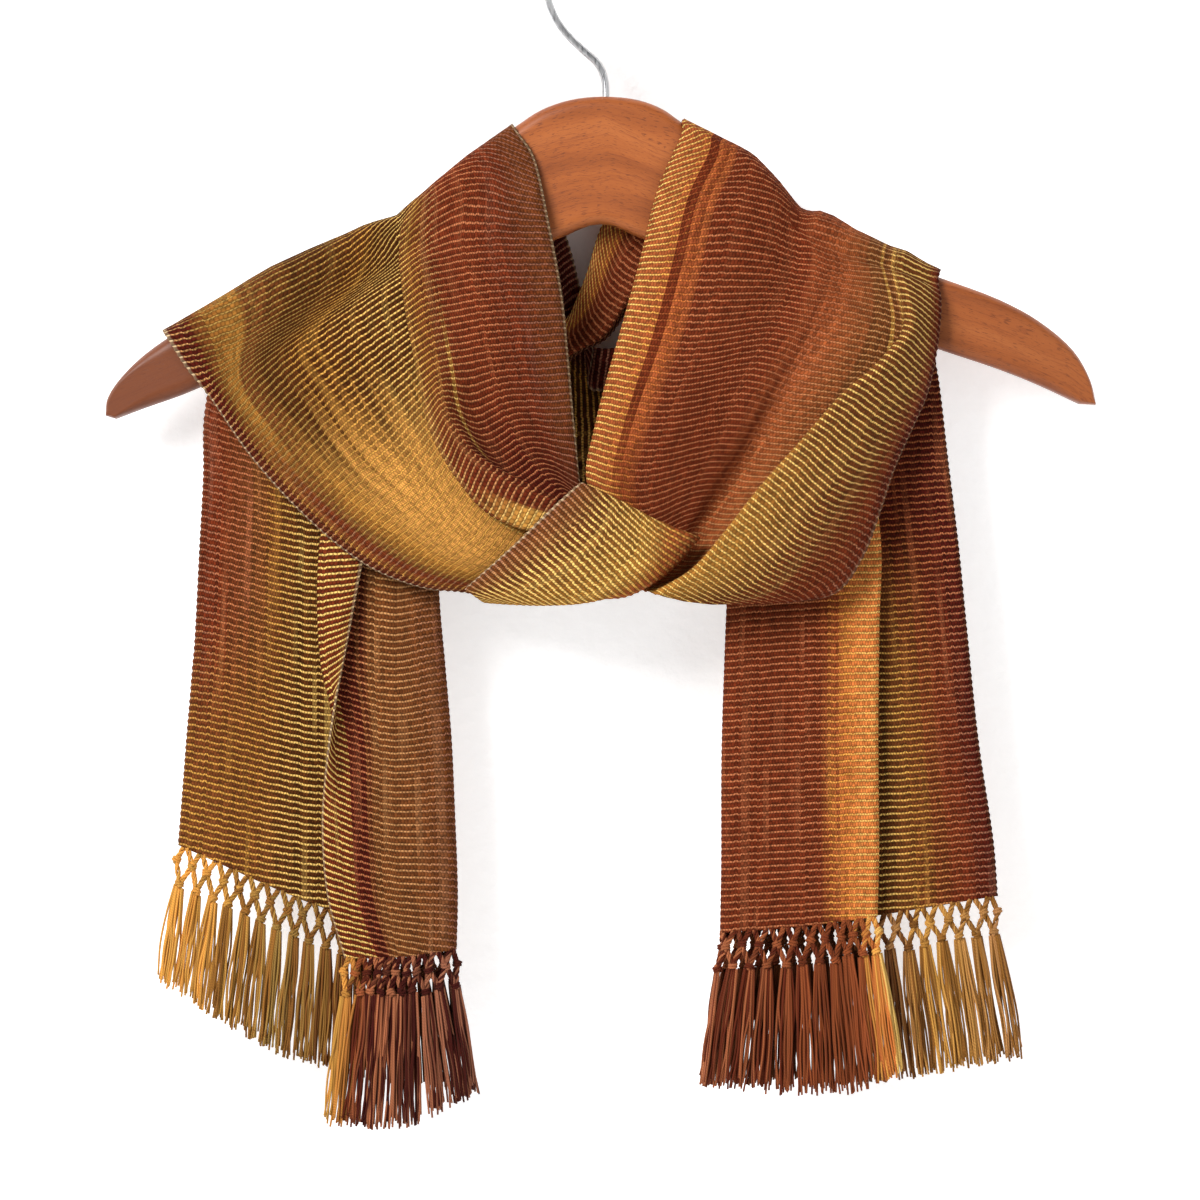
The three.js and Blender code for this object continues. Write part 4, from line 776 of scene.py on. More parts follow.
# %% A helper for node graphs
class Graph:
    def __init__(self, tree):
        self.tree = tree

    def node(self, kind, inputs=None, **settings):
        n = self.tree.nodes.new(kind)
        for key, value in settings.items():
            setattr(n, key, value)
        for key, value in (inputs or {}).items():
            self.feed(n.inputs[key], value)
        return n

    def feed(self, socket, value):
        if isinstance(value, bpy.types.NodeSocket):
            self.tree.links.new(value, socket)
        else:
            socket.default_value = value

    def math(self, operation, a, b=0.0):
        return self.node("ShaderNodeMath", {0: a, 1: b}, operation=operation).outputs[0]

    def add(self, total, *terms):
        for term in terms:
            total = self.math("ADD", total, term)
        return total

    def sub(self, a, b):
        return self.math("SUBTRACT", a, b)

    def mul(self, product, *factors):
        for factor in factors:
            product = self.math("MULTIPLY", product, factor)
        return product

    def div(self, a, b):
        return self.math("DIVIDE", a, b)

    def floor(self, value):
        return self.math("FLOOR", value)

    def apart(self, a, b):
        return self.math("ABSOLUTE", self.sub(a, b))

    def level(self, mask, at_0, at_1):
        """A number that goes from at_0 to at_1 as the mask goes from 0 to 1."""
        return self.add(self.mul(mask, at_1 - at_0), at_0)

    def stray(self, mask, size):
        """The mask as a shift to both sides, size from one end to the other."""
        return self.mul(self.sub(mask, 0.5), size)

    def shaded(self, colour, level):
        return self.mix(1.0, colour, self.vector(level, level, level), "MULTIPLY")

    def mix(self, amount, a, b, blend="MIX"):
        n = self.node("ShaderNodeMix", {0: amount, 6: a, 7: b}, data_type="RGBA", blend_type=blend)
        return n.outputs[2]

    def soft(self, value, low, high):
        """0 below low, 1 above high, and smooth between them; low may be above high."""
        n = self.node("ShaderNodeMapRange", {0: value, 1: low, 2: high}, interpolation_type="SMOOTHSTEP")
        return n.outputs[0]

    def vector(self, x=0.0, y=0.0, z=0.0):
        return self.node("ShaderNodeCombineXYZ", {0: x, 1: y, 2: z}).outputs[0]

    def noise(self, vector, detail=2.0, rough=0.5):
        inputs = {"Vector": vector, "Scale": 1.0, "Detail": detail, "Roughness": rough}
        return self.node("ShaderNodeTexNoise", inputs).outputs["Fac"]

    def object_place(self, *scale):
        """The place on the object in metres, or that times a scale for each axis."""
        place = self.node("ShaderNodeTexCoord").outputs["Object"]
        if not scale:
            return place
        return self.node("ShaderNodeVectorMath", {0: place, 1: scale}, operation="MULTIPLY").outputs[0]

    def parts(self, vector):
        return self.node("ShaderNodeSeparateXYZ", {0: vector}).outputs

    def ramp(self, factor, stops):
        n = self.node("ShaderNodeValToRGB", {0: factor})
        points = n.color_ramp.elements
        while len(points) < len(stops):
            points.new(0.5)
        for point, (place, colour) in zip(points, stops):
            point.position = place
            point.color = colour
        return n.outputs[0]

    def chance(self, number, seed):
        """A value from 0 to 1 for each whole number."""
        n = self.node("ShaderNodeTexWhiteNoise", {"Vector": self.vector(number, seed)}, noise_dimensions="2D")
        return n.outputs["Value"]

    def uv(self, name):
        u, v, _ = self.parts(self.node("ShaderNodeUVMap", uv_map=name).outputs[0])
        return u, v


print("graph words:", ", ".join(word for word in vars(Graph) if not word.startswith("_")))

# %% [markdown]
# Two more helpers make what the graphs go into: a node group with named inputs and outputs, and a material
# whose one shader takes its linked sockets from a function and its plain values from the call.


# %% Groups and materials
def group_with(name, inputs, outputs):
    """A new shader node group, with its input and output nodes."""
    tree = bpy.data.node_groups.new(name, "ShaderNodeTree")
    for label, value in inputs.items():
        socket = tree.interface.new_socket(label, in_out="INPUT", socket_type="NodeSocketFloat")
        socket.default_value = value
    for label in outputs:
        tree.interface.new_socket(label, in_out="OUTPUT", socket_type="NodeSocketFloat")
    return tree, tree.nodes.new("NodeGroupInput").outputs, tree.nodes.new("NodeGroupOutput").inputs


def material(name, surface, strength, distance, **constants):
    """A Principled material. surface gives the linked sockets; constants are set on the shader itself."""
    mat = bpy.data.materials.new(name)
    mat.use_nodes = True
    tree = mat.node_tree
    shader = tree.nodes["Principled BSDF"]
    g = Graph(tree)
    made = surface(g)
    if "Height" in made:
        height = made.pop("Height")
        n = g.node("ShaderNodeBump", {"Height": height, "Strength": strength, "Distance": distance})
        made["Normal"] = n.outputs[0]
    for key, value in made.items():
        g.feed(shader.inputs[key], value)
    for key, value in constants.items():
        shader.inputs[key.replace("_", " ")].default_value = value
    return mat


print("graphs are made by", group_with.__name__, "and", material.__name__)

# %% [markdown]
# ## Yarns
# The strip is woven from two warps, one laid over the other: the thick weft lifts one of them and the thin
# weft the other, so each rib shows its own yarn. Both warps were dyed before weaving, in long soft patches.
# The colours are written as a dyer's chart would give them and turned into the linear light of the shaders.

# %% Yarns
YARN = {
    "straw": (244, 200, 112), "amber": (236, 162, 72), "gold": (206, 150, 68), "honey": (182, 126, 60),
    "olive": (160, 124, 62), "ochre": (148, 98, 40), "tan": (186, 132, 82), "orange": (200, 112, 54),
    "rust": (146, 74, 38), "copper": (178, 106, 68), "brick": (98, 38, 17), "brown": (100, 54, 24),
    "umber": (72, 36, 10), "burgundy": (68, 18, 9), "plum": (148, 94, 72), "wine": (66, 17, 11),
    "cream": (216, 190, 150),
}


def linear(rgb):
    """A colour of 0 to 255 a channel, by the usual screen curve, as linear light with alpha."""
    channels = [c / 255 for c in rgb]
    return (*[c / 12.92 if c <= 0.04045 else ((c + 0.055) / 1.055) ** 2.4 for c in channels], 1.0)


DYE = {name: linear(rgb) for name, rgb in YARN.items()}
print("yarns:", len(DYE))

# %% [markdown]
# ## The weave
# Rep weave is all warp: ribs run across the strip, a thick one and a thin one by turns, and every rib is a
# row of small rounded floats. The group turns a place on the cloth into which rib it is, how high the yarn
# stands, and a painted shade that darkens the grooves between ribs and the sides of each float. Each thread
# and each small bundle of threads also gets a number of its own, from which the dyeing below draws its
# streaks. All stretches share the one group, with own values.


# %% The weave group
THREAD = 1.15  # mm from one thread to the next
BUNDLE = 2.0  # mm of threads that went through the dye together
RIB_WANDER = 0.7  # mm that a rib bends over some centimetres
THREAD_WANDER = 0.5  # mm that one thread's floats stand off their rib
RIB_BLEND = 0.05  # parts of a rib over which light turns into dark
GROOVE = 0.12  # parts of a rib over which the yarn sinks between two ribs


def weave_group():
    tree, given, out = group_with(
        "rep weave",
        {"Across": 0.0, "Along": 0.0, "Rib": RIB, "Light share": 0.34, "Thread": THREAD},
        ["Light", "Relief", "Shade", "Single", "Bundle", "Long streak"],
    )
    g = Graph(tree)
    across, along = given["Across"], given["Along"]
    thread = g.div(across, given["Thread"])
    single = g.chance(g.floor(thread), 1.0)
    bend = g.stray(g.noise(g.vector(g.mul(across, 0.12), g.mul(along, 0.12))), RIB_WANDER)
    turn = g.div(g.add(along, g.add(bend, g.stray(single, THREAD_WANDER))), given["Rib"])
    from_light = g.apart(g.math("FRACT", turn), 0.5)
    half = g.mul(given["Light share"], 0.5)
    light = g.soft(from_light, g.add(half, RIB_BLEND), g.sub(half, RIB_BLEND))
    rib_height = g.soft(g.apart(from_light, half), 0.0, GROOVE)
    # the floats of the two ribs lie half a thread apart, as bricks do
    off_middle = g.mul(g.apart(g.math("FRACT", g.add(thread, g.mul(light, 0.5))), 0.5), 2.0)
    dome = g.sub(1.0, g.math("POWER", off_middle, 2.5))
    uneven = g.mul(g.noise(g.vector(g.mul(across, 0.11), 5.0)), 3.0)
    bundle = g.chance(g.floor(g.add(g.div(across, BUNDLE), uneven)), 7.0)
    lengthwise = g.add(g.mul(along, 0.011), g.mul(bundle, 9.0))
    g.feed(out["Light"], g.mul(light, g.level(dome, 0.4, 1.0)))
    g.feed(out["Relief"], g.mul(rib_height, g.level(dome, 0.55, 1.0)))
    # Shade is painted shade: darker in the grooves between ribs and on the rounded sides of each float
    g.feed(out["Shade"], g.mul(g.level(rib_height, 0.6, 1.0), g.level(dome, 0.52, 1.07)))
    g.feed(out["Single"], single)
    g.feed(out["Bundle"], bundle)
    g.feed(out["Long streak"], g.noise(g.vector(g.mul(bundle, 40.0), lengthwise), 1.0))
    return tree


WEAVE = weave_group()
print("weave nodes:", len(WEAVE.nodes))

# %% [markdown]
# ## Dyed cloth
# A stretch's colours are written as bands: how far across, the yarn of the light ribs and the yarn of the
# dark ones. There is one list for each end of the stretch, and the change from one to the other comes thread
# by thread, which gives the long streaks that warp-dyed cloth has. A few single threads of another colour are
# laid over the bands, and the cream weft shows as a row of loops along each selvedge.


# %% Dyed cloth
LINE_FADE = 20  # mm before and after its end over which a line comes and goes
LINE_SIDE = 0.5  # mm over which its side fades
LOOP_WIDTH = (1.1, 0.6)  # mm from the selvedge at which the loops begin and are full
PALE, DARK = 0, 1
BUNDLE_SHIFT = (0.03, 12.0)  # how far a bundle's dye strays: across in widths, along in mm
THREAD_SHIFT = (0.02, 18.0)
PATCH_SHIFT = 0.06
WASHED = (0.56, 0.70)  # where a long streak is pale, and where it is dark
SOAKED = (0.50, 0.32)


def stops(bands, which):
    """The colour stops of one warp; a band is its place in %, its light yarn and its dark one."""
    words = [band.split() for band in bands.split(",")]
    return [(float(place) / 100, DYE[yarns[which]]) for place, *yarns in words]


def banded(g, factor, late, first, last, which):
    """The bands of one warp, turning from those of the first end into those of the last."""
    early_colour = g.ramp(factor, stops(first, which))
    return g.mix(late, early_colour, g.ramp(factor, stops(last, which)))


def single_lines(g, across, later, lines, dark, pale):
    """A line is (place, half width, beginning, end, yarn, how much it covers the dark ribs)."""
    for place, half, begin, finish, yarn, cover in lines:
        begun = g.soft(later, begin - LINE_FADE, begin + LINE_FADE)
        lasts = g.mul(begun, g.soft(later, finish + LINE_FADE, finish - LINE_FADE))
        on = g.mul(g.soft(g.apart(across, place), half + LINE_SIDE, half), lasts)
        dark = g.mix(g.mul(on, cover), dark, DYE[yarn])
        pale = g.mix(on, pale, DYE["straw"])
    return dark, pale


def weft_loops(g, across, width, light, loops):
    """Where the cream loops show; loops gives how much of them at each selvedge."""
    near = g.mul(g.soft(across, *LOOP_WIDTH), loops[0])
    far = g.mul(g.soft(g.sub(width, across), *LOOP_WIDTH), loops[1])
    return g.mul(g.add(near, far), g.level(light, 0.25, 1.0))


def dyed_cloth(name, width, first, last, start, end, share, loops, streaks, lines=(), lean=0):
    def surface(g):
        across, along = g.uv("cloth")
        inputs = {"Across": across, "Along": along, "Light share": share}
        weave = g.node("ShaderNodeGroup", node_tree=WEAVE)
        for label, value in inputs.items():
            g.feed(weave.inputs[label], value)
        light, single, bundle = [weave.outputs[k] for k in ("Light", "Single", "Bundle")]
        place = g.div(across, width)
        broad = g.noise(g.vector(g.mul(across, 0.05), g.mul(along, 0.006)))
        fine = g.add(g.stray(single, THREAD_SHIFT[0]), g.stray(broad, PATCH_SHIFT))
        factor = g.add(place, g.add(g.stray(bundle, BUNDLE_SHIFT[0]), fine))
        thread_by_thread = g.add(g.stray(bundle, BUNDLE_SHIFT[1]), g.stray(single, THREAD_SHIFT[1]))
        later = g.add(g.add(along, g.stray(place, lean)), thread_by_thread)
        late = g.soft(later, start, end)
        dark = banded(g, factor, late, first, last, DARK)
        pale = banded(g, factor, late, first, last, PALE)
        dark, pale = single_lines(g, across, later, lines, dark, pale)
        washed = g.mul(g.soft(weave.outputs["Long streak"], *WASHED), streaks)
        soaked = g.mul(g.soft(weave.outputs["Long streak"], *SOAKED), streaks)
        dark = g.shaded(g.mix(washed, dark, pale), g.mul(g.sub(1.04, soaked), g.level(single, 0.82, 1.16)))
        pale = g.shaded(pale, g.level(bundle, 0.88, 1.08))
        stitch = g.add(g.mul(g.floor(g.div(along, RIB / 2)), 331.0), g.floor(g.div(across, THREAD)))
        spot = g.level(g.chance(stitch, 3.0), 0.72, 1.32)
        # the weave's painted shade and the random tone of each stitch darken the colour
        colour = g.shaded(g.mix(light, dark, pale), g.mul(weave.outputs["Shade"], spot))
        colour = g.mix(weft_loops(g, across, width, light, loops), colour, DYE["cream"])
        return {"Base Color": colour, "Height": weave.outputs["Relief"]}

    return material(name, surface, strength=0.6, distance=0.0006, Roughness=0.9, Specular_IOR_Level=0.06)


print("lines fade in over", 2 * LINE_FADE, "mm")


# %% [markdown]
# ## Colours of each stretch
# The strip runs on behind the hanger, so the bands at the end of one stretch are those at the start of the
# next. start and end are the millimetres along the stretch between which the first bands turn into the last.

# %% Colours of each stretch
BANDS = {
    "front_left": dict(
        first="0 plum brown, 10 plum brick, 18 copper brick, 25 copper brick, 31 tan brick, 38 gold brown, "
              "46 straw umber, 68 gold umber, 75 olive umber, 80 olive umber, 87 olive brown, "
              "91 olive ochre, 96 olive burgundy, 100 tan burgundy",
        last="0 plum wine, 10 copper burgundy, 32 copper burgundy, 39 tan brick, 45 straw burgundy, "
             "48 gold ochre, 51 gold honey, 76 gold honey, 84 gold ochre, 90 olive brown, 93 plum brick, "
             "96 gold brown, 100 plum burgundy",
        start=108, end=176, share=0.30, loops=(0.7, 0.8), streaks=0.12, lean=70,
        lines=[(50, 0.6, 95, 290, "gold", 0.3), (66, 4.0, 195, 500, "gold", 0.8),
               (79, 0.6, 190, 500, "gold", 0.5), (84, 0.6, 170, 500, "gold", 0.5)],
    ),
    "front_right": dict(
        first="0 straw rust, 7 amber rust, 8 rust brick, 11 rust brick, 13 orange rust, 16 copper brick, "
              "38 copper brick, 48 copper rust, 58 tan brown, 66 tan brown, 72 straw brown, 90 straw brown, "
              "95 tan brick, 100 plum burgundy",
        last="0 straw rust, 11 amber rust, 13 rust brick, 16 copper brick, 42 copper brick, 50 tan rust, "
             "58 tan brown, 66 straw ochre, 76 straw ochre, 84 straw brown, 89 tan brick, 93 copper brick, "
             "100 plum brick",
        start=120, end=220, share=0.30, loops=(0.0, 0.3), streaks=0.06,
        lines=[(101, 0.6, -90, 170, "gold", 0.3), (107, 0.6, -90, 180, "gold", 0.2),
               (113, 1.2, -90, 190, "gold", 0.2), (172, 0.6, 190, 420, "gold", 0.3),
               (177, 0.6, 210, 420, "gold", 0.3)],
    ),
    "crossing": dict(
        first="0 plum brown, 12 tan brown, 30 straw brown, 76 straw ochre, 90 gold rust, 100 tan rust",
        last="0 plum brown, 12 tan brown, 30 straw brown, 66 straw ochre, 82 straw ochre, 92 gold rust, "
             "100 tan rust",
        start=10, end=80, share=0.40, loops=(0.8, 0.0), streaks=0.12,
    ),
    "tail_left": dict(
        first="0 straw brick, 9 straw brick, 11 copper burgundy, 15 copper burgundy, 18 tan brown, "
              "24 tan brown, 36 plum brown, 46 plum brown, 56 gold umber, 70 straw umber, 84 gold brown, "
              "100 gold brown",
        last="0 olive umber, 8 olive brown, 12 tan brown, 18 straw umber, 32 gold umber, 56 gold umber, "
             "70 straw umber, 80 gold brown, 86 copper brown, 94 copper brick, 100 plum brick",
        start=110, end=200, share=0.33, loops=(0.7, 0.1), streaks=0.2, lean=130,
    ),
    "tail_right": dict(
        first="0 straw orange, 7 amber orange, 11 amber rust, 15 copper brick, 40 copper brick, "
              "52 gold umber, 72 straw umber, 84 gold brown, 92 copper brick, 100 plum burgundy",
        last="0 straw orange, 8 amber rust, 14 orange brick, 18 copper brick, 40 copper brick, "
             "54 gold umber, 70 gold umber, 80 rust burgundy, 100 copper wine",
        start=90, end=190, share=0.32, loops=(0.0, 0.1), streaks=0.18,
    ),
    "back_near": dict(
        first="0 straw rust, 14 amber rust, 20 copper brick, 60 copper brick, 80 straw brown, "
              "100 plum burgundy",
        last="0 straw rust, 14 amber rust, 20 copper brick, 60 copper brick, 80 straw brown, "
             "100 plum burgundy",
        start=100, end=200, share=0.36, loops=(0.0, 0.1), streaks=0.15,
    ),
    "back_far": dict(
        first="0 plum wine, 16 plum burgundy, 22 gold umber, 50 straw umber, 70 olive brown, "
              "88 gold ochre, 100 plum burgundy",
        last="0 plum wine, 16 plum burgundy, 22 gold umber, 50 straw umber, 70 gold brown, "
             "88 copper brick, 100 plum burgundy",
        start=150, end=260, share=0.36, loops=(0.5, 0.5), streaks=0.15,
    ),
}
for name, dyeing in BANDS.items():
    obj = pieces[name]
    obj.data.materials.append(dyed_cloth(name + "_yarns", obj["across"], **dyeing))
print(len(BANDS), "cloth materials")

# %% [markdown]
# ## The knotted fringe
# The warp ends are gathered in bundles, and neighbouring bundles are knotted and parted again twice, which
# makes a net of diamonds; the tassels hang below. Every thread is a real tube, because a fringe is mostly
# outline. The tubes of one fringe are gathered into one mesh, with the place across the strip in one UV map
# and a number for each thread in another.

# %% Threads
YARN_R = 0.55  # radius of a thread
SIDES = 6


class Threads:
    def __init__(self):
        self.verts, self.faces, self.uvs, self.shades = [], [], [], []
        self.count = 0

    def tube(self, path, radii, place, shade):
        path = np.asarray(path, float)
        n = len(path)
        radii = np.broadcast_to(radii, n)
        way = unit(np.concatenate([path[1:2] - path[:1], path[2:] - path[:-2], path[-1:] - path[-2:-1]]))
        out = unit(np.cross(way, np.array([0.05, 1, 0.02])))
        up = np.cross(way, out)
        turn = np.arange(SIDES) / SIDES * 2 * math.pi
        ring = out[:, None] * np.cos(turn)[:, None] + up[:, None] * np.sin(turn)[:, None]
        verts = path[:, None] + ring * radii[:, None, None]
        index = self.count + np.arange(n * SIDES).reshape(n, SIDES)
        a, b = index[:-1], index[1:]
        sides = np.stack([a, np.roll(a, -1, 1), np.roll(b, -1, 1), b], -1).reshape(-1, 4)
        first, last = index[0], index[-1]
        caps = [first[[3, 2, 1, 0]], first[[5, 4, 3, 0]], last[[0, 1, 2, 3]], last[[0, 3, 4, 5]]]
        self.verts.append(verts.reshape(-1, 3))
        self.faces += [sides, np.array(caps)]
        run = np.concatenate([[0], np.cumsum(np.linalg.norm(np.diff(path, axis=0), axis=1))])
        self.uvs.append(np.stack([np.full(n * SIDES, place), np.repeat(run, SIDES)], -1))
        self.shades.append(np.full((n * SIDES, 2), shade))
        self.count += n * SIDES

    def mesh(self, name):
        return write_mesh(name, *map(np.concatenate, (self.verts, self.faces, self.uvs, self.shades)))


def helix(start, end, radius, turns, phase, steps):
    """A thread wound about the straight line from start to end."""
    way = unit(end - start)
    out = unit(np.cross(way, np.array([0.1, 1, 0])))
    up = np.cross(way, out)
    t = np.linspace(0, 1, steps)[:, None]
    angle = 2 * math.pi * turns * t + phase
    return start + (end - start) * t + (out * np.cos(angle) + up * np.sin(angle)) * radius


print("yarn", 2 * YARN_R, "mm thick, with", SIDES, "sides")

# %% [markdown]
# A leg of the net is four threads wound about each other, and a knot is two turns round a thick core. Every
# knot is set a little off its place and leans its own way, as tied by hand.

# %% Legs and knots
LEG_THREADS = 4
LEG_R = 0.8
LEG_TURNS = 1.1
LEG_POINTS = 9
QUARTER_TURN = 1.57
KNOT_SIZE = 2.4
KNOT_R = 1.65
KNOT_TURNS = 2.1
KNOT_POINTS = 22
CORE = [(-0.8, 0.8), (-0.3, 1.4), (0.3, 1.4), (0.8, 0.9)]  # (part of the knot's size, radius)


def jitter(rng, size):
    return np.array([rng.uniform(-size, size) for _ in range(3)])


def leg(threads, rng, a, b, u):
    for k in range(LEG_THREADS):
        path = helix(a, b, LEG_R, LEG_TURNS, k * QUARTER_TURN + rng.random(), LEG_POINTS)
        threads.tube(path, YARN_R, u, rng.random())


def knot(threads, rng, p, down, u):
    lean = unit(down + jitter(rng, 0.5)) * KNOT_SIZE
    threads.tube([p + lean * part for part, _ in CORE], [radius for _, radius in CORE], u, rng.random())
    turns = helix(p - lean * 0.5, p + lean * 0.5, KNOT_R, KNOT_TURNS, rng.random() * 6, KNOT_POINTS)
    threads.tube(turns, YARN_R * 1.2, u, rng.random())


print("a leg has", LEG_THREADS, "threads and a knot is", 2 * KNOT_R, "mm wide")

# %% [markdown]
# A tassel's threads leave their knot close together and spread to the next tassel, each a little longer or
# shorter. The whole fringe hangs between two lines: the end of the cloth, and the line of the tips below it.

# %% Tassels
TASSELS = 28
FIRST_KNOTS = 6.7  # below the end of the cloth
SECOND_KNOTS = 15.5
IN_CLOTH = 0.3  # how far the roots start inside the cloth
EDGE_KNOT = 0.6  # the outermost knots lie this far in from the selvedge
THREADS = 18
TASSEL_WIDTH = 7.4
TASSEL_TOP = 4.2
UNDER_KNOT = 1.2
KNEE = 0.35  # how far down a thread reaches most of its spread
SHORT_OR_LONG = (-3.5, 2.5)
DEPTH_STRAY = 1.4
FOOT_STRAY = 0.9
KNEE_STRAY = 0.7
BEND_STRAY = 1.3


def tassel(threads, rng, p, down, side, length, u, pitch):
    for i in range(THREADS):
        spread = i / (THREADS - 1) - 0.5
        reach = length + rng.uniform(*SHORT_OR_LONG)
        deep = np.array([0, rng.uniform(-DEPTH_STRAY, DEPTH_STRAY), 0])
        foot_side = side * (spread * TASSEL_WIDTH + rng.uniform(-FOOT_STRAY, FOOT_STRAY))
        foot = p + down * reach + foot_side + deep
        knee_side = side * (spread * TASSEL_WIDTH * 0.9 + rng.uniform(-KNEE_STRAY, KNEE_STRAY))
        knee = p + down * reach * KNEE + knee_side + deep
        top = p + down * UNDER_KNOT + side * spread * TASSEL_TOP + deep * 0.7
        bend = (knee + foot) / 2 + jitter(rng, BEND_STRAY)
        path = smooth([top, knee, bend, foot], [5, 4, 4])
        radii = np.linspace(YARN_R, YARN_R * 0.8, len(path))
        threads.tube(path, radii, u + spread * pitch, rng.random())


def knotted_fringe(name, end, across, tips, seed):
    rng = random.Random(seed)
    threads = Threads()
    pitch = across[-1] / TASSELS

    def at(line, u):
        return np.array([np.interp(u, across, line[:, k]) for k in range(3)])

    def hang(u, s):
        top = at(end, u)
        return top + unit(at(tips, u) - top) * s

    roots = [(k + 0.5) * pitch for k in range(TASSELS)]
    upper = [k * pitch for k in range(TASSELS + 1)]
    upper[0], upper[-1] = EDGE_KNOT, across[-1] - EDGE_KNOT
    first = [hang(u, FIRST_KNOTS) + jitter(rng, 0.5) for u in upper]
    second = [hang(u, SECOND_KNOTS + rng.uniform(-1, 1)) + jitter(rng, 0.5) for u in roots]
    for k, u in enumerate(roots):
        top = hang(u, -IN_CLOTH)
        for p, w in ((first[k], upper[k]), (first[k + 1], upper[k + 1])):
            leg(threads, rng, top + (p - top) * np.array([0.25, 0, 0]), p, u)
            leg(threads, rng, p, second[k], w)
    for p, u in zip(first, upper):
        knot(threads, rng, p, unit(hang(u, 10) - hang(u, 0)), u)
    for p, u in zip(second, roots):
        down = unit(at(tips, u) - p)
        knot(threads, rng, p, down, u)
        side = unit(at(tips, min(across[-1], u + 2)) - at(tips, max(0, u - 2)))
        tassel(threads, rng, p, down, side, np.linalg.norm(at(tips, u) - p), u, pitch)
    obj = add_object(name, threads.mesh(name))
    print(name, len(obj.data.polygons) * 2, "triangles")
    return obj


# %% [markdown]
# The tips are one line across each tail, with the same named places as a row of its table, and the colours
# follow the bands at the end of that tail.

# %% Both fringes
LEFT_TIPS = dict(free=(-124, -25, -529.5), crease=(-110, -24.5, -530.5), front=(-86, -23, -530),
                 fold=(-57, -17, -516), back=(-134, -12.5, -503), selvedge=(-200, -14, -466))
RIGHT_TIPS = dict(free=(134, -23, -507.5), crease=(112, -24, -515), front=(84, -23, -516),
                  fold=(44, -17, -512), back=(122, -12.5, -511), selvedge=(188, -14, -500))


def tips_line(tips, rows):
    free = [np.array(tail_line(r)) for r in rows]
    counts = steps_between(np.mean(free, axis=0), STEP_ACROSS, 2)
    return smooth(tail_line({place: np.array(point, float) for place, point in tips.items()}), counts)


FRINGES = {
    "fringe_left": dict(
        tail="tail_left", tips=LEFT_TIPS, rows=LEFT_TAIL, seed=11,
        bands="0 amber gold, 5 rust brick, 10 copper burgundy, 40 plum burgundy, 46 brown umber, "
              "60 ochre brown, 76 olive ochre, 88 gold ochre, 94 amber gold, 100 amber gold",
    ),
    "fringe_right": dict(
        tail="tail_right", tips=RIGHT_TIPS, rows=RIGHT_TAIL, seed=12,
        bands="0 straw amber, 3 amber orange, 6 rust rust, 20 rust brick, 40 copper brick, "
              "48 brown brick, 68 brown umber, 76 tan brown, 85 gold ochre, 100 tan ochre",
    ),
}
for name, own in FRINGES.items():
    end, across = tail_ends[own["tail"]]
    tips = tips_line(own["tips"], own["rows"])
    pieces[name] = knotted_fringe(name + "_threads", end, across, tips, own["seed"])


# %% [markdown]
# ## Fringe yarn
# Each thread keeps the colour of its place in the strip, taken from one warp or the other, and its two plies
# show as fine slanting dashes: a bump, with painted shade in the grooves between the plies and painted light
# on their tops.


# %% Fringe yarn
PLY = 1.3  # mm from one turn of a thread's plies to the next


def fringe_yarn(name, width, bands):
    def surface(g):
        across, _ = g.uv("cloth")
        shade, _ = g.uv("thread")
        factor = g.add(g.div(across, width), g.stray(shade, 0.03))
        which = g.soft(g.math("FRACT", g.mul(shade, 7.0)), 0.3, 0.7)
        colour = g.mix(which, g.ramp(factor, stops(bands, PALE)), g.ramp(factor, stops(bands, DARK)))
        x, y, z = g.parts(g.object_place())
        ply_bump_and_shade = g.math("SINE", g.mul(g.add(x, y, z), 2 * math.pi / (PLY * MM)))
        # the ply wave is both a bump and painted shade and light along the plies
        level = g.add(g.mul(ply_bump_and_shade, 0.14), g.level(shade, 0.66, 0.96))
        return {"Base Color": g.shaded(colour, level), "Height": ply_bump_and_shade}

    return material(name, surface, strength=0.4, distance=0.0002, Roughness=0.8, Sheen_Weight=0.02,
                    Sheen_Roughness=0.4, Specular_IOR_Level=0.12)


for name, own in FRINGES.items():
    yarn = fringe_yarn(name + "_yarn", pieces[own["tail"]]["across"], own["bands"])
    pieces[name].data.materials.append(yarn)
print(len(FRINGES), "fringe materials, with a ply every", PLY, "mm")

# %% [markdown]
# ## The wooden hanger
# The board is sawn to its outline and its edges are rounded over all round. The outline is drawn again in
# rings, each a little further in and nearer the face, which is just what the router's bit leaves.


# %% The board
HALF_WIDTH = 224
TIP = 24  # over this length at each tip the rounding shrinks with the arm
LEAST_ROUNDING = 0.25
QUARTER = [0, 15, 30, 45, 60, 75, 90]
GRAIN_FOLLOWS = 0.8  # how closely the grain follows the arm's middle line


def board_rings():
    """(how far in, y) of each ring, from the front face round the edge to the back face."""
    rings = []
    for angle in np.radians(QUARTER):
        rings.append((ROUND * (1 - math.cos(angle)), BOARD / 2 - ROUND + ROUND * math.sin(angle)))
    rings.append((ROUND + 1, BOARD / 2))
    return [(inset, -y) for inset, y in rings[::-1]] + rings


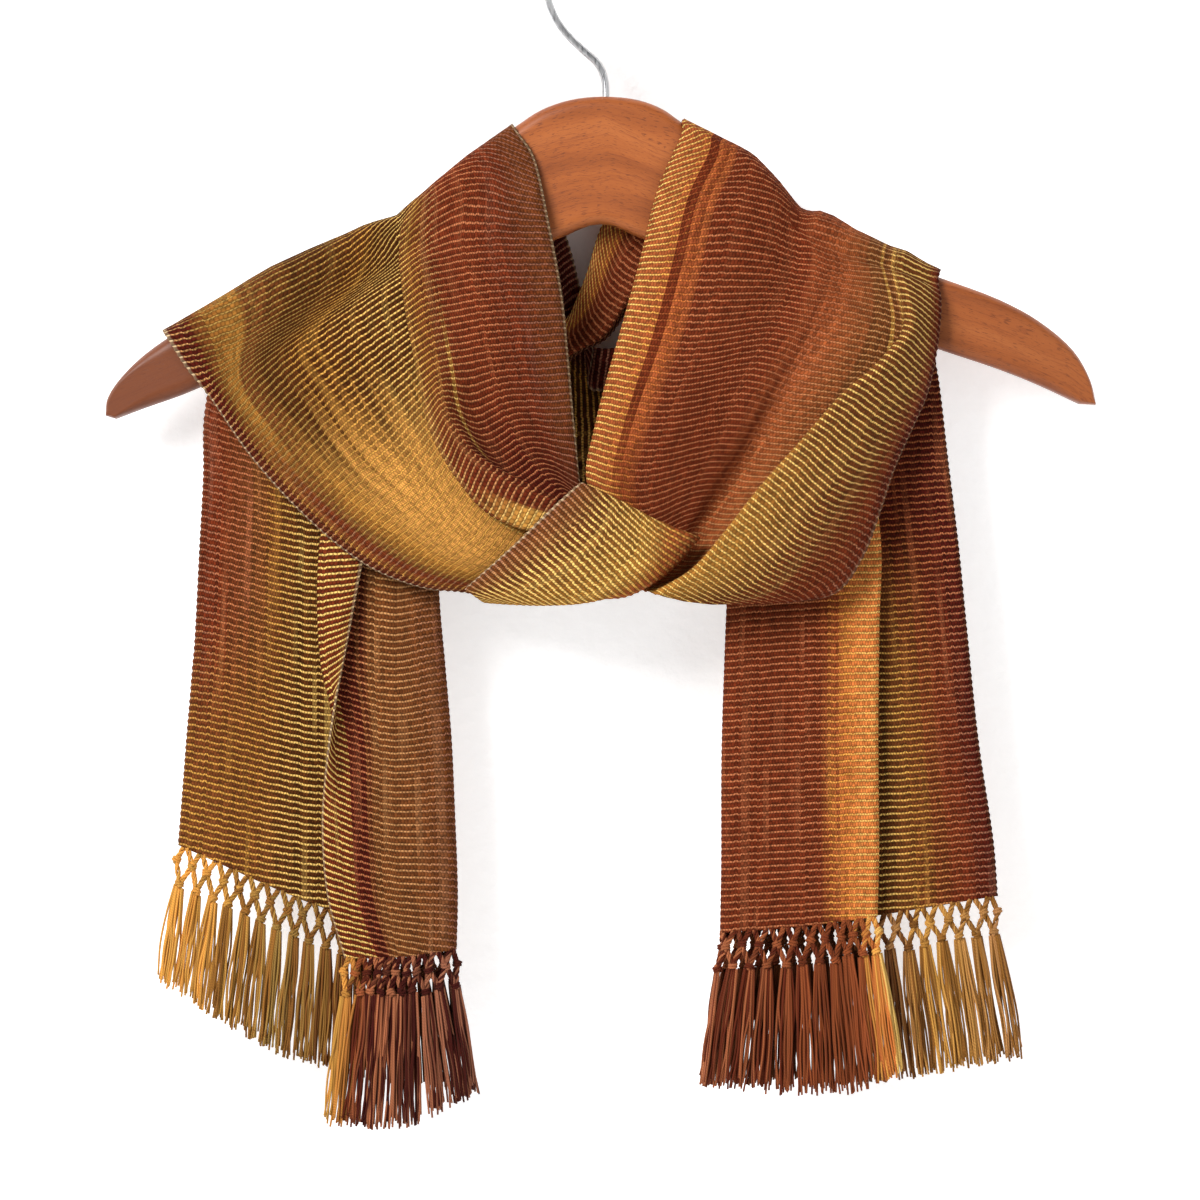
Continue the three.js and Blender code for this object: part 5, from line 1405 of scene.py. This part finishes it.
def board():
    top = smooth([(x, 0, z) for x, z in BOARD_TOP], [4] * (len(BOARD_TOP) - 1))
    under = smooth([(x, 0, z) for x, z in BOARD_UNDER], [4] * (len(BOARD_UNDER) - 1))
    line = np.concatenate([top, under])[:, [0, 2]]
    before, after = np.roll(line, 1, 0), np.roll(line, -1, 0)
    tangent = unit(unit(line - before) + unit(after - line))
    inward = np.stack([tangent[:, 1], -tangent[:, 0]], -1)
    inward *= np.clip((HALF_WIDTH - np.abs(line[:, :1])) / TIP, LEAST_ROUNDING, 1)
    rings = board_rings()
    verts = []
    for inset, y in rings:
        ring = line + inward * inset
        verts.append(np.stack([ring[:, 0], np.full(len(ring), y), ring[:, 1]], -1))
    n = len(line)
    faces = []
    for k in range(len(rings) - 1):
        for i in range(n):
            j = (i + 1) % n
            faces.append((k * n + i, k * n + j, (k + 1) * n + j, (k + 1) * n + i))
    faces.append(tuple(range(n))[::-1])
    faces.append(tuple(range((len(rings) - 1) * n, len(rings) * n)))
    mesh = bpy.data.meshes.new("hanger_board")
    mesh.from_pydata((np.concatenate(verts) * MM).tolist(), [], faces)
    mesh.polygons.foreach_set("use_smooth", np.ones(len(faces), bool))
    grain = mesh.uv_layers.new(name="grain")
    for loop in mesh.loops:
        x, _, z = mesh.vertices[loop.vertex_index].co / MM
        above, below = np.interp(x, top[:, 0], top[:, 2]), np.interp(x, under[::-1, 0], under[::-1, 2])
        grain.data[loop.index].uv = (x, z - GRAIN_FOLLOWS * (above + below) / 2)
    print("board", len(faces), "faces")
    return add_object("hanger_board", mesh)


hanger = board()

# %% [markdown]
# ## The hook
# One length of bright steel wire: a short stem out of the board, a bend to the side, and the loop.

# %% The hook
WIRE = 1.6  # radius of the wire
LOOP = 24.6  # radius of the loop
HOOK = [
    (1.3, -79), (1.3, -70.7), (0.8, -62.5), (-2, -56), (-8, -50.3), (-14.8, -43.9), (-19.6, -38),
    (-23, -31.6), (-24.6, -26),
]


def hook():
    path = [(x, 0, z) for x, z in HOOK]
    for degrees in np.arange(170, -6, -12.5):
        a = math.radians(degrees)
        path.append((LOOP * math.cos(a), 0, WIRE - LOOP + LOOP * math.sin(a)))
    path = smooth(path, [4] * (len(path) - 1))
    tip, way = path[-1], unit(path[-1] - path[-2])
    rounded = np.radians([30, 60, 85])
    dome = [tip + way * WIRE * math.sin(a) for a in rounded]
    radii = [WIRE] * len(path) + [WIRE * math.cos(a) for a in rounded]
    wire = Threads()
    wire.tube(np.concatenate([path, dome]), radii, 0, 0)
    print("hook", round(running(path[:, None])[-1]), "mm of wire")
    return add_object("hanger_wire", wire.mesh("hanger_wire"))


wire_hook = hook()

# %% [markdown]
# ## Wood and steel
# The wood is a red-brown, close-grained one: broad soft bands, fine darker streaks along the arms and short
# pores. The grain follows the arms, so it is drawn along the board's own middle line.


# %% Wood and steel
WOOD = {
    "heart": linear((128, 64, 26)), "middle": linear((160, 86, 38)), "light": linear((172, 97, 47)),
    "streak": linear((120, 56, 24)), "pore": linear((84, 36, 18)), "aged": linear((96, 48, 24)),
}


def wood(g):
    along, up = g.uv("grain")

    def stretched(lengthwise, upward, detail, rough=0.5):
        return g.noise(g.vector(g.mul(along, lengthwise), g.mul(up, upward)), detail, rough)

    broad = stretched(0.006, 0.07, 3.0)
    streak = stretched(0.03, 0.8, 4.0, 0.65)
    pores = g.soft(stretched(0.3, 2.4, 2.0), 0.57, 0.66)
    # the arms turn darker towards their tips, the left one much more
    dark_left = g.mul(g.soft(along, -120.0, -190.0), 0.85)
    dark_right = g.mul(g.soft(along, 120.0, 200.0), 0.25)
    base = g.ramp(broad, [(0.3, WOOD["heart"]), (0.5, WOOD["middle"]), (0.7, WOOD["light"])])
    base = g.mix(g.mul(g.soft(streak, 0.48, 0.75), 0.7), base, WOOD["streak"])
    base = g.mix(g.mul(pores, 0.6), base, WOOD["pore"])
    base = g.mix(g.add(dark_left, dark_right), base, WOOD["aged"])
    height = g.sub(g.mul(streak, 0.3), pores)
    return {"Base Color": base, "Roughness": g.level(streak, 0.35, 0.55), "Height": height}


def steel(g):
    drawn = g.noise(g.object_place(900, 900, 120))
    colour = g.ramp(drawn, [(0.3, (0.36, 0.36, 0.37, 1)), (0.7, (0.62, 0.62, 0.63, 1))])
    return {"Base Color": colour, "Roughness": g.level(drawn, 0.2, 0.4), "Height": drawn}


hanger.data.materials.append(material("close_grained_wood", wood, strength=0.15, distance=0.0003,
                                      Specular_IOR_Level=0.3, Coat_Weight=0.05, Coat_Roughness=0.3))
wire_hook.data.materials.append(material("bright_wire", steel, strength=0.1, distance=0.0001, Metallic=1.0))
print("hanger materials:", hanger.active_material.name, "and", wire_hook.active_material.name)

# %% [markdown]
# ## Telling the frame
# Each piece rides on the one body and stands for its plain solid, which is hidden.


# %% Telling the frame
def tell(piece, node):
    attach(piece, "root")
    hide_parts(node)


tell(hanger, "hanger_body")
tell(wire_hook, "hanger_hook")
for name in FRINGES:
    tell(pieces[name], name)
for name in STRETCHES:
    obj = pieces[name]
    tell(obj, name)
print(len(pieces) + 2, "pieces ride on root")

# %% [markdown]
# ## Wall, floor and light
# A white plaster wall stands just behind. It has a painted glow, an emission that makes it as bright as a
# well-lit white wall looks, and round the neck of the hanger the glow fades out, which paints shade there
# where the cloth would shade it. The plaster shows from the front only, so that the back of the scarf can be
# looked at too.

# %% Wall and floor
WALL_Y = 0.031
FLOOR_Z = -1.3
WALL_TOP = 2
ROOM_HALF = 3
ROOM_FRONT = -5
NECK_Z = -0.12
# painted shade round the neck: within these distances the wall's painted glow fades out
PAINTED_NECK_SHADE = (0.035, 0.075)  # metres from the neck at which the glow begins and is full
PAINTED_GLOW = 0.5


def plane(name, corners):
    mesh = bpy.data.meshes.new(name)
    mesh.from_pydata(corners, [], [(0, 1, 2, 3)])
    obj = add_object(name, mesh)
    return obj


def plaster(g):
    lumps = g.noise(g.object_place(160, 160, 160), 4.0)
    shades = [(0.0, (0.86, 0.86, 0.86, 1)), (1.0, (0.93, 0.93, 0.93, 1))]
    return {"Base Color": g.ramp(lumps, shades), "Height": lumps}


def plaster_with_painted_glow(g):
    x, _, z = g.parts(g.object_place())
    half_z = g.mul(g.sub(z, NECK_Z), 0.5)
    from_neck = g.math("SQRT", g.add(g.mul(x, x), g.mul(half_z, half_z)))
    # the emission is painted light, and its fading out near the neck is painted shade
    painted_glow = g.soft(from_neck, *PAINTED_NECK_SHADE)
    return {**plaster(g), "Emission Color": g.vector(painted_glow, painted_glow, painted_glow)}


def from_the_front_only(mat):
    g = Graph(mat.node_tree)
    back = g.node("ShaderNodeNewGeometry").outputs["Backfacing"]
    painted = mat.node_tree.nodes["Principled BSDF"].outputs[0]
    clear = g.node("ShaderNodeBsdfTransparent").outputs[0]
    either = g.node("ShaderNodeMixShader", {0: back, 1: painted, 2: clear})
    g.feed(mat.node_tree.nodes["Material Output"].inputs[0], either.outputs[0])


left, right = -ROOM_HALF, ROOM_HALF
wall = plane("wall", [(left, WALL_Y, FLOOR_Z), (right, WALL_Y, FLOOR_Z),
                      (right, WALL_Y, WALL_TOP), (left, WALL_Y, WALL_TOP)])
floor = plane("floor", [(left, ROOM_FRONT, FLOOR_Z), (right, ROOM_FRONT, FLOOR_Z),
                        (right, WALL_Y, FLOOR_Z), (left, WALL_Y, FLOOR_Z)])
wall_with_painted_glow = material("plaster", plaster_with_painted_glow, strength=0.35, distance=0.002, Roughness=0.9,
                      Emission_Strength=PAINTED_GLOW)
from_the_front_only(wall_with_painted_glow)
wall.data.materials.append(wall_with_painted_glow)
floor.data.materials.append(material("pale_floor", plaster, strength=0.1, distance=0.001, Roughness=0.8))
print("wall", round(WALL_Y / MM), "mm behind the hanger's middle")

# %% [markdown]
# The light is broad and soft, a little stronger from the upper left, and a pale sky fills the shadows. Each
# lamp is turned so that it faces the middle of the scarf.

# %% Light
SKY = 0.28
CENTRE = (0, 0, -0.3)
world = bpy.data.worlds.new("soft_room")
world.use_nodes = True
world.node_tree.nodes["Background"].inputs[0].default_value = (1, 1, 1, 1)
world.node_tree.nodes["Background"].inputs[1].default_value = SKY
bpy.context.scene.world = world


def softbox(name, place, target, size, power):
    lamp = bpy.data.lights.new(name, "AREA")
    lamp.size = size
    lamp.energy = power
    obj = add_object(name, lamp)
    obj.location = place
    way = np.array(target) - np.array(place)
    tilt = math.atan2(math.hypot(way[0], way[1]), -way[2])
    obj.rotation_euler = (tilt, 0, math.atan2(way[0], -way[1]) + math.pi)
    print(name, "light", size, "m wide,", power, "W")


softbox("key", (-1.1, -1.5, 0.7), CENTRE, size=1.0, power=54)
softbox("fill", (1.4, -1.6, 0.0), CENTRE, size=1.6, power=9)
bpy.context.scene.view_settings.view_transform = "Standard"

# %% [markdown]
# The visual model may stand only a little proud of the measured one.
